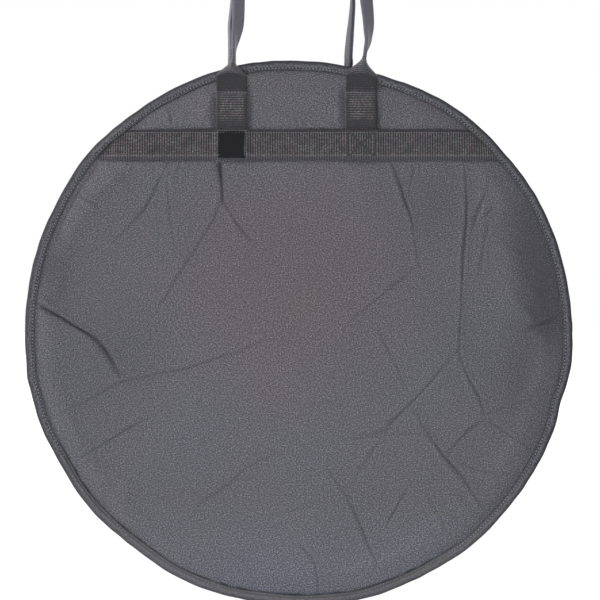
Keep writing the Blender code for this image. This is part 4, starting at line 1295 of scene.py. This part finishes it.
def finish_webbing(name, rings, along, across, rib_light, tone):
    """Makes ribbed webbing of rings of points: the map's u runs along it and v across it."""
    closed_across = np.append(across, across[0])
    mesh = grid_mesh(name, rings, along, closed_across, close_v=True, caps=True)
    spots = mesh.attributes.new("cloth_place", "FLOAT_VECTOR", "POINT")
    u, v = np.meshgrid(along, across, indexing="ij")
    values = np.stack([u, v, np.zeros_like(u)], axis=-1).astype(np.float32)
    spots.data.foreach_set("vector", values.ravel())
    for label, share in (("rib_light", rib_light), ("tone", tone)):
        values = np.broadcast_to(share, u.shape).astype(np.float32).ravel()
        mesh.attributes.new(label, "FLOAT", "POINT").data.foreach_set("value", values)
    piece = shown(name, mesh, FINISHES["webbing"])
    return run_tree(piece, TREES["ribs"], {"Material": FINISHES["webbing"]})


def rise_over_legs(side, x):
    """How far the cross strap climbs where a leg lies under it."""
    total = np.zeros_like(x)
    for leg in LEGS[side]:
        outside = np.abs(x - leg) - WEBBING_WIDTH / 2
        total = np.maximum(total, 1 - ease(outside / (6 * MM)))
    return total * (WEBBING_THICKNESS + 0.1 * MM)


# The strap is painted greyer, as painted light, from this far below its middle line
LOW_MARGIN = 10.4 * MM


def make_cross_strap(name, side):
    """Ribbed webbing sewn across a face, pressed down by its two rows of sewing."""
    low = CROSS_HEIGHT - WEBBING_WIDTH / 2
    longest = math.sqrt(CROSS_REACH**2 - low**2)
    x = np.arange(-longest, longest + RIB_STEP, RIB_STEP)
    ring = webbing_ring(CROSS_COLUMNS)
    across = ring[:, 0]
    height = CROSS_HEIGHT + across[None, :] + 0.25 * MM * np.sin(x * 55)[:, None]
    tip = np.sqrt(CROSS_REACH**2 - height**2)
    place_x = np.clip(x[:, None], -tip, tip)
    seat = seat_level(place_x, height) + rise_over_legs(side, place_x)
    sewn = bump(np.abs(across) - HIGH_ROW, 1.3 * MM)[None, :]
    proud = 0.12 * MM * np.sin(place_x * 90 + across[None, :] * 60)
    level = seat + WEBBING_THICKNESS / 2 + STRAP_LIFT + ring[:, 1][None, :]
    level = level - 0.22 * MM * sewn * (ring[:, 1] > 0) + proud
    lit_margin = ease((-across - LOW_MARGIN) / (1.2 * MM))[None, :]
    # Painted light: greyer along its low margin and towards its right end
    tone = 0.20 + 0.55 * lit_margin + 0.10 * ease((x[:, None] - 0.07) / 0.03)
    return finish_webbing(name, place(place_x, side * level, height), x, ring[:, 2], 1.0, tone)


# How a handle's webbing rounds its fold
FOLD_ROUND = 0.0010

# A strap of a handle above its stitch row: height, x of its middle, twist in degrees
STRAPS = {
    FRONT: {
        "left": [(0.239, -0.0665, 0), (0.262, -0.0662, 0), (0.2735, -0.0650, 0), (0.284, -0.0649, 3),
                 (0.292, -0.0640, 12), (0.300, -0.0625, 26), (0.312, -0.0608, 42), (0.332, -0.0602, 45),
                 (0.350, -0.0606, 42)],
        "right": [(0.239, 0.0625, 0), (0.262, 0.0636, 0), (0.2765, 0.0662, -1), (0.284, 0.0672, -3),
                  (0.292, 0.0689, -12), (0.300, 0.0694, -26), (0.312, 0.0696, -42), (0.332, 0.0679, -53),
                  (0.350, 0.0660, -46)],
    },
    BACK: {
        "left": [(0.239, -0.0685, 0), (0.255, -0.0690, 2), (0.270, -0.0692, 12), (0.284, -0.0688, 13),
                 (0.300, -0.0689, 13), (0.312, -0.0690, 13), (0.332, -0.0670, 12), (0.350, -0.0666, 4)],
        "right": [(0.239, 0.0515, 0), (0.255, 0.0512, -2), (0.268, 0.0504, -20), (0.276, 0.0507, -23),
                  (0.284, 0.0508, -22), (0.300, 0.0521, -19), (0.316, 0.0536, -13), (0.332, 0.0548, -8),
                  (0.350, 0.0550, -2)],
    },
}

# Spring and rise of the arch, its level out from the middle plane, and the foot of the legs
SPRING_HEIGHT = 0.3728
ARCH_HEIGHT = 0.060
GRIP_LEVEL = 0.009
LEG_FOOT = 0.174

# The straps lean to the grip from the top of the bells up
BELL_TOP = 0.277

# How far the middle of a strap drops as it folds in half
FOLD_DROP = WEBBING_WIDTH * 0.25

# Heights between which a strap folds in half
BELLS = {
    (FRONT, "left"): (0.2575, 0.2735),
    (FRONT, "right"): (0.2585, 0.2765),
    (BACK, "left"): (0.2500, 0.2680),
    (BACK, "right"): (0.2500, 0.2680),
}

# How far a strap stands off its face: height and millimetres
STAND_OFF = [
    (LEG_FOOT, 0.0), (0.2010, 0.0), (0.2060, 1.2), (0.2140, 2.3), (0.2240, 2.2), (0.2330, 1.2),
    (0.2390, 0.1), (0.2430, 1.5), (0.2490, 4.0), (0.2550, 6.2), (0.2590, 6.9), (0.2630, 6.2),
    (0.2700, 4.0), (0.2770, 2.0), (0.2900, 0.8), (0.3100, 0.3), (SPRING_HEIGHT, 0.0),
]

# How far the selvedges of a strap lag behind its middle as it folds: height and millimetres
LAG = [
    (LEG_FOOT, 0.0), (0.239, 0.0), (0.248, 1.0), (0.258, 4.2), (0.267, 5.6), (0.277, 6.0),
    (0.300, 5.0), (0.350, 3.0), (SPRING_HEIGHT, 2.0),
]

# How much painted highlight and shade the ribs of a strap get: height and share, and the least on the back
# handle
STRAP_RIB_LIGHT = [
    (LEG_FOOT, 0.4), (0.2020, 0.12), (0.2100, 0.20), (0.2150, 1.0), (0.2310, 1.0), (0.2350, 0.7),
    (0.2420, 0.40), (0.2450, 0.12), (0.2560, 0.10), (0.2590, 0.55), (0.2640, 1.0), (0.2750, 0.8),
    (0.2860, 0.25), (0.3000, 0.12), (0.400, 0.12),
]
BACK_RIB_LIGHT = 0.50
BACK_RIB_LIGHT_FROM = 0.270
BACK_RIB_LIGHT_REACH = 0.012

# How grey a strap's yarn is painted between the crests, as painted light: grey where light falls, black in
# shade
STRAP_LIT_TONE = [
    (LEG_FOOT, 0.1), (0.2100, 0.06), (0.2160, 0.25), (0.2330, 0.30), (0.2390, 0.25), (0.2410, 0.03),
    (0.2565, 0.03), (0.2590, 0.35), (0.2640, 0.70), (0.2750, 0.90), (0.2860, 0.95), (0.3000, 1.0),
    (0.400, 1.0),
]


def read_keys(keys, at):
    """A smooth curve through (place, value) keys, read at places."""
    keys = np.array(keys, float)
    curve = smooth_path(keys * np.array([1, MM]), 0.4 * MM)
    order = np.argsort(curve[:, 0], kind="stable")
    return np.interp(at, curve[order, 0], curve[order, 1]) / MM


def strap_stations(side, hand):
    """Stations of one strap from its foot up to the spring of the arch.

    A station is (x, level, height, twist, fold, lag, wear, tone), fold going from 0, flat, to 1,
    folded in half.
    """
    keys = np.array(STRAPS[side][hand])
    heights = np.linspace(LEG_FOOT, SPRING_HEIGHT, STRAP_STEPS)
    keys = np.vstack([[LEG_FOOT, keys[0, 1], 0], keys, [SPRING_HEIGHT, keys[-1, 1], 0]])
    x = read_keys(keys[:, :2] * np.array([1, 1000]), heights) * MM
    twist = np.radians(read_keys(keys[:, [0, 2]], heights))
    start, end = BELLS[side, hand]
    fold = ease((heights - start) / (end - start))
    seat = seat_level(x, np.minimum(heights, STITCH_ROW)) + WEBBING_THICKNESS / 2 + STRAP_LIFT
    ridge = seat + read_keys(STAND_OFF, heights) * MM
    level = ridge - FOLD_DROP * fold
    rising = ease((heights - BELL_TOP) / (SPRING_HEIGHT - BELL_TOP))
    level = level + (GRIP_LEVEL - level) * rising
    lag = read_keys(LAG, heights) * MM
    rib_light = np.interp(heights, *np.array(STRAP_RIB_LIGHT).T)
    if side == BACK:
        rib_light = np.maximum(rib_light, BACK_RIB_LIGHT * ease((heights - BACK_RIB_LIGHT_FROM) / BACK_RIB_LIGHT_REACH))
    tone = np.interp(heights, *np.array(STRAP_LIT_TONE).T)
    return np.stack([x, level, heights, twist, fold, lag, rib_light, tone], axis=1)


def folded_section(fold, places, offset):
    """Across and depth of the points of a strap's section, folded by that share of a half turn.

    places are distances from the middle of the webbing, and offset how far out of its middle.
    """
    half_turn = fold * math.pi / 2
    bent = FOLD_ROUND * half_turn
    size = np.abs(places)
    if half_turn < 1e-3:
        return places, -offset
    inside = np.minimum(size, bent)
    straight = np.maximum(size - bent, 0)
    turn = inside / FOLD_ROUND
    across = FOLD_ROUND * np.sin(turn) + straight * math.cos(half_turn)
    depth = FOLD_ROUND * (1 - np.cos(turn)) + straight * math.sin(half_turn)
    across = across + offset * np.sin(turn)
    depth = depth - offset * np.cos(turn)
    return np.sign(places) * across, depth


def make_handle(name, side):
    """One handle with its two legs: webbing up from the cross strap, folded over the arch and down."""
    left = strap_stations(side, "left")
    right = strap_stations(side, "right")
    middle = (left[-1, 0] + right[-1, 0]) / 2
    half_span = (right[-1, 0] - left[-1, 0]) / 2
    turns = np.linspace(0, math.pi, ARCH_STEPS)[1:-1]
    same = np.ones(len(turns))
    x = middle - half_span * np.cos(turns)
    height = SPRING_HEIGHT + ARCH_HEIGHT * np.sin(turns)
    lag_light_tone = (same * last for last in left[-1, 5:])
    arch = np.vstack([x, same * GRIP_LEVEL, height, same * 0, same, *lag_light_tone]).T
    stations = np.vstack([left, arch, right[::-1]])
    length = np.concatenate([[0], np.cumsum(np.linalg.norm(np.diff(stations[:, :3], axis=0), axis=1))])
    along = np.arange(0, length[-1], RIB_STEP)
    stations = np.stack([np.interp(along, length, column) for column in stations.T], axis=1)
    tangents = np.gradient(stations[:, [0, 2]], axis=0)
    tangents /= np.linalg.norm(tangents, axis=1)[:, None]
    climbing = np.clip(tangents[:, 1] * 3, -1, 1)
    ring = webbing_ring(HANDLE_COLUMNS)
    behind = (ring[:, 0] / (WEBBING_WIDTH / 2)) ** 2
    rings = []
    for station, (tx, th), climb in zip(stations, tangents, climbing):
        x, level, height, twist, fold, lag = station[:6]
        across, depth = folded_section(fold, ring[:, 0], ring[:, 1])
        depth = depth - FOLD_DROP * fold
        turned = across * math.cos(twist) + depth * math.sin(twist)
        depth = depth * math.cos(twist) - across * math.sin(twist)
        slip = -lag * climb * behind
        aside = x + th * turned + tx * slip
        rings.append(place(aside, side * (level - depth), height - tx * turned + th * slip))
    return finish_webbing(name, np.array(rings), along, ring[:, 2], stations[:, 6:7], stations[:, 7:8])


# Half the width of the label, and half the side of the square of its sewing
LABEL_HALF = WEBBING_WIDTH / 2 - 0.4 * MM
LABEL_ROW_HALF = WEBBING_WIDTH / 2 - 1.2 * MM

# How far the label, its sewing and the sewing on a strap lie above the outside of the strap
LABEL_LIFT = 0.45 * MM
LABEL_ROW_LIFT = 0.62 * MM
ROW_LIFT = 0.22 * MM
LABEL_THICKNESS = 0.5 * MM


def make_label():
    """Bare satin patch over the left crossing, its edges turned in and drawn by the sewing."""
    line = np.linspace(-LABEL_HALF, LABEL_HALF, 49)
    u, v = np.meshgrid(line, line, indexing="ij")
    edge = np.minimum(LABEL_HALF - np.abs(u), LABEL_HALF - np.abs(v))
    x = LEGS[FRONT][0] + u + 0.2 * MM * np.sin(v * 300)
    height = CROSS_HEIGHT + v + 0.15 * MM * np.sin(u * 260 + 1)
    seat = seat_level(x, height) + rise_over_legs(FRONT, x) + WEBBING_THICKNESS + LABEL_LIFT
    puff = 0.35 * MM * ease(edge / (5 * MM)) + 0.10 * MM * np.sin(u * 420 + v * 190) * ease(edge / (4 * MM))
    level = seat + puff - 0.25 * MM * bump(edge - 1.5 * MM, 0.7 * MM)
    mesh = grid_mesh("blank_label", place(x, FRONT * level, height), line, line)
    piece = shown("blank_label", mesh, FINISHES["label"])
    return thickened(piece, LABEL_THICKNESS, -1 if mesh.polygons[0].normal.y < 0 else 1)


def top_of_strap(side, x, height, over_leg=True):
    """Level of the outside of the cross strap, or of a leg, for the sewing on it."""
    climb = rise_over_legs(side, x) if over_leg else 0.0
    return seat_level(x, height) + climb + WEBBING_THICKNESS + ROW_LIFT


def line_on_strap(side, start, end, over_leg=True, count=60):
    """A straight row of sewing between two places on a strap."""
    x = np.linspace(start[0], end[0], count)
    height = np.linspace(start[1], end[1], count)
    return place(x, side * top_of_strap(side, x, height, over_leg), height), False


def make_strap_sewing(name, side):
    """Rows along the cross strap and the last row of each leg."""
    rows = []
    for offset in (HIGH_ROW, -LOW_ROW):
        height = CROSS_HEIGHT + offset
        reach = math.sqrt(ROW_REACH**2 - height**2)
        rows.append(line_on_strap(side, (-reach, height), (reach, height), True, 240))
    row = STITCH_ROW - 0.4 * MM
    for leg in LEGS[side]:
        rows.append(line_on_strap(side, (leg - LEG_ROW_HALF, row), (leg + LEG_ROW_HALF, row), False))
    return stitches(name, rows, FINISHES["dark_thread"], STRAP_STITCH)


def make_box_sewing(side):
    """Sewing over each crossing that no label hides: a pale box, and black diagonals and uprights."""
    boxes = []
    crosses = []
    low, high = CROSS_HEIGHT - LOW_ROW, CROSS_HEIGHT + HIGH_ROW
    for leg in LEGS[side] if side == BACK else LEGS[side][1:]:
        left, right = leg - BOX_HALF, leg + BOX_HALF
        corners = [(left, low), (right, low), (right, high), (left, high)]
        boxes += [line_on_strap(side, corners[1], corners[2]), line_on_strap(side, corners[3], corners[0])]
        crosses += [line_on_strap(side, corners[0], corners[2]), line_on_strap(side, corners[1], corners[3])]
        for upright in (leg - UPRIGHT_HALF, leg + UPRIGHT_HALF):
            crosses.append(line_on_strap(side, (upright, low), (upright, high - 1 * MM)))
    word = WORDS[side]
    box = stitches(f"{word}_box_sewing", boxes, FINISHES["dark_thread"], BOX_STITCH)
    cross = stitches(f"{word}_cross_sewing", crosses, FINISHES["black_thread"], CROSS_STITCH)
    return box, cross


def make_label_sewing():
    """A row of small stitches just inside each edge of the label."""
    half = LABEL_ROW_HALF
    corners = [(-half, -half), (half, -half), (half, half), (-half, half)]
    rows = []
    for (ax, ay), (bx, by) in zip(corners, corners[1:] + corners[:1]):
        x = LEGS[FRONT][0] + np.linspace(ax, bx, 30)
        height = CROSS_HEIGHT + np.linspace(ay, by, 30)
        level = seat_level(x, height) + rise_over_legs(FRONT, x) + WEBBING_THICKNESS + LABEL_ROW_LIFT
        rows.append((place(x, FRONT * level, height), False))
    return stitches("label_sewing", rows, FINISHES["dark_thread"], LABEL_STITCH)


# Assembly: every piece and what it stands for, and the body that the back's layers and the pieces on each
# face ride on

# Names of the pieces of each side, and the nodes that they stand for
PIECES = {
    FRONT: {
        "panel": ("front_panel", "flap_cover", "lower_front_cover", "flap_padding", "lower_front_padding"),
        "lining": ("front_lining", "flap_lining", "lower_front_lining"),
        "binding": ("front_binding", "flap_binding", "lower_front_binding"),
        "tape": ("front_zip_tape", "right_flap_tape", "left_flap_tape", "right_zip_tail", "left_zip_tail"),
        "teeth": ("front_zip", "flap_zip_teeth", "right_tail_teeth", "left_tail_teeth"),
        "cross": ("front_cross_webbing", "front_cross_strap"),
        "handle": ("front_handle_webbing", "front_handle", "front_left_leg", "front_right_leg"),
    },
    BACK: {
        "panel": ("back_panel", "back_cover", "back_padding"),
        "lining": ("back_inner_lining", "back_lining"),
        "binding": ("back_edge_binding", "back_binding"),
        "tape": ("back_tape", "right_back_tape", "left_back_tape"),
        "teeth": ("back_zip", "back_zip_teeth"),
        "cross": ("back_cross_webbing", "back_cross_strap"),
        "handle": ("back_handle_webbing", "back_handle", "back_left_leg", "back_right_leg"),
    },
}


def dress(piece, slot, *nodes):
    """Hides the nodes that a piece stands for and gives the piece back; the slot is not used. Sewing stands
    for none.
    """
    if nodes:
        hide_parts(*nodes)
    return piece


def bend(piece, low, high):
    """Bakes a piece's transform into its mesh; it bends nothing, and the two heights are not used."""
    Vector(place(0.0, 0.0, low))
    Vector(place(0.0, 0.0, high))
    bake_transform(piece)


def make_side(side):
    """All soft pieces of one side, from the panel out to the handle."""
    word = WORDS[side]

    def made(make, kind, slot):
        name, *nodes = PIECES[side][kind]
        return dress(make(name, side), slot, *nodes)

    layers = [made(make_panel, "panel", "cover_cloth")]
    layers.append(made(make_lining, "lining", "lining_cloth"))
    layers.append(made(make_binding, "binding", "binding_tape"))
    layers.append(dress(make_binding_sewing(f"{word}_binding_sewing", side), "binding_tape"))
    layers.append(made(make_zip_tape, "tape", "zip_tape"))
    teeth_name, *teeth_nodes = PIECES[side]["teeth"]
    heads, cord = make_teeth(teeth_name, side)
    layers += [dress(heads, "zip_teeth", *teeth_nodes), dress(cord, "zip_teeth")]
    if side == BACK:
        layers.append(dress(make_gusset(), "cover_cloth", "gusset"))
    on_face = [made(make_cross_strap, "cross", "webbing")]
    if side == FRONT:
        on_face.append(dress(make_label(), "label_satin", "label"))
    on_face.append(dress(make_strap_sewing(f"{word}_strap_sewing", side), "webbing"))
    on_face += [dress(piece, "webbing") for piece in make_box_sewing(side)]
    if side == FRONT:
        on_face.append(dress(make_label_sewing(), "label_satin"))
    face_body = "flap" if side == FRONT else "bag"
    for piece in layers:
        if side == FRONT:
            bend(piece, FOLD_HEIGHT - FOLD_REACH, FOLD_HEIGHT + FOLD_REACH)
        else:
            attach(piece, "bag")
    for piece in on_face:
        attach(piece, face_body)
    handle = made(make_handle, "handle", "webbing")
    bend(handle, STITCH_ROW - 1 * MM, STITCH_ROW + 9 * MM)


def finish_metal():
    """Slider, pull and stops keep their shape and get rounded edges and their finish."""
    for name in ("slider_body", "pull_tab", "right_zip_stop", "left_zip_stop"):
        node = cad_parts[name]
        node.data.materials.clear()
        node.data.materials.append(FINISHES["metal"])
        weld = node.modifiers.new("weld", "WELD")
        weld.merge_threshold = 0.01 * MM
        rounded = node.modifiers.new("rounded", "BEVEL")
        rounded.width = 0.25 * MM
        rounded.segments = 2
        rounded.limit_method = "ANGLE"
        rounded.angle_limit = math.radians(30)


# Floor, light and camera

FLOOR_REACH = 12.0
FLOOR_DROP = 2 * MM

# Lamps: place, size across, power in watts and colour
WHITE = (1.0, 1.0, 1.0)
LAMPS = {
    "window": ((-1.35, -2.1, 2.5), 1.3, 29.5, WHITE),
    "top_fill": ((0.0, -0.42, 0.06), 0.20, 0.35, WHITE),
    "near_fill": ((-0.05, -0.75, -0.64), 0.12, 2.35, (0.875, 0.95, 1.0)),
    "right_fill": ((1.3, -2.4, 0.1), 0.8, 0.6, (0.76, 0.86, 1.0)),
    "side_window": ((-2.3, 0.1, 0.2), 0.9, 50, (1.0, 0.97, 0.95)),
    "behind": ((1.2, 2.4, 1.2), 1.4, 60, WHITE),
    "far_side": ((2.0, 1.5, 0.2), 0.9, 14, WHITE),
}

# The camera: width of its view at the rim, where it aims, the level of the rim, lens and sensor
VIEW_WIDTH = 0.600
VIEW_AIM = (0.0034, -0.399)
RIM_LEVEL = 0.012
LENS = 85
SENSOR = 36


def seen_share(nodes):
    """1 for rays that the camera, gloss or glass sees, and 0 for those that light the bag."""
    path = nodes.add("ShaderNodeLightPath")
    seen = path.out("Is Camera Ray").math("MAXIMUM", path.out("Is Glossy Ray"))
    return seen.math("MAXIMUM", path.out("Is Transmission Ray"))


def make_floor():
    """A pale floor just under the bag, white to the camera but for the bag's soft shadow.

    It lights the bag less than it shows, as the paper under the real bag did.
    """
    finish = Finish("floor")
    seen = seen_share(finish)
    tone = finish.mixed(seen, rgba(0.54, 0.54, 0.545), rgba(0.62, 0.62, 0.62))
    length = {"operation": "LENGTH"}
    distance = finish.add("ShaderNodeVectorMath", length, {0: finish.object_place()}).out("Value")
    far_off = finish.spread(distance, 0.95, 1.9)
    matt = finish.add("ShaderNodeBsdfDiffuse", None, {"Color": tone}).out()
    white = finish.add("ShaderNodeEmission", None, {"Color": rgba(1, 1, 1), "Strength": 1.3}).out()
    share = seen * (far_off * 0.35 + 0.65)
    shader = finish.add("ShaderNodeMixShader", None, {0: share, 1: matt, 2: white})
    finish.add("ShaderNodeOutputMaterial", None, {0: shader.out()})
    level = float(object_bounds()[0].z) - FLOOR_DROP
    mesh = bpy.data.meshes.new("floor")
    corners = [(x * FLOOR_REACH, y * FLOOR_REACH, level) for x, y in ((-1, -1), (1, -1), (1, 1), (-1, 1))]
    mesh.from_pydata(corners, [], [(0, 1, 2, 3)])
    mesh.materials.append(finish.material)
    linked("floor", mesh)


def make_light():
    """Windows, fills near the bag and lamps behind it, in a world that lights less than it shows."""
    world = bpy.data.worlds.new("studio")
    world.use_nodes = True
    nodes = Nodes(world.node_tree)
    nodes.tree.nodes.clear()
    seen = seen_share(nodes)
    ambient, white = (
        nodes.add("ShaderNodeBackground", None, {"Color": colour, "Strength": strength}).out()
        for colour, strength in ((rgba(0.96, 0.97, 1.0), 0.13), (rgba(1, 1, 1), 1.0))
    )
    mix = nodes.add("ShaderNodeMixShader", None, {0: seen, 1: ambient, 2: white})
    nodes.add("ShaderNodeOutputWorld", None, {0: mix.out()})
    bpy.context.scene.world = world
    for name, (spot, size, power, colour) in LAMPS.items():
        data = bpy.data.lights.new(name, "AREA")
        data.shape = "DISK"
        data.size = size
        data.energy = power
        data.color = colour
        lamp = linked(name, data)
        lamp.location = spot
        lamp.rotation_euler = (Vector(CENTRE) - Vector(spot)).to_track_quat("-Z", "Y").to_euler()


def make_camera():
    """Straight in front of the bag, its view as wide at the rim as the photograph."""
    data = bpy.data.cameras.new("camera")
    data.lens = LENS
    data.sensor_width = SENSOR
    camera = linked("camera", data)
    distance = VIEW_WIDTH * LENS / SENSOR
    camera.location = (VIEW_AIM[0], -RIM_LEVEL - distance, VIEW_AIM[1])
    camera.rotation_euler = (math.pi / 2, 0, 0)
    bpy.context.scene.camera = camera


make_side(FRONT)
make_side(BACK)
finish_metal()
make_floor()
make_light()
make_camera()
bpy.context.scene.view_settings.view_transform = "Standard"
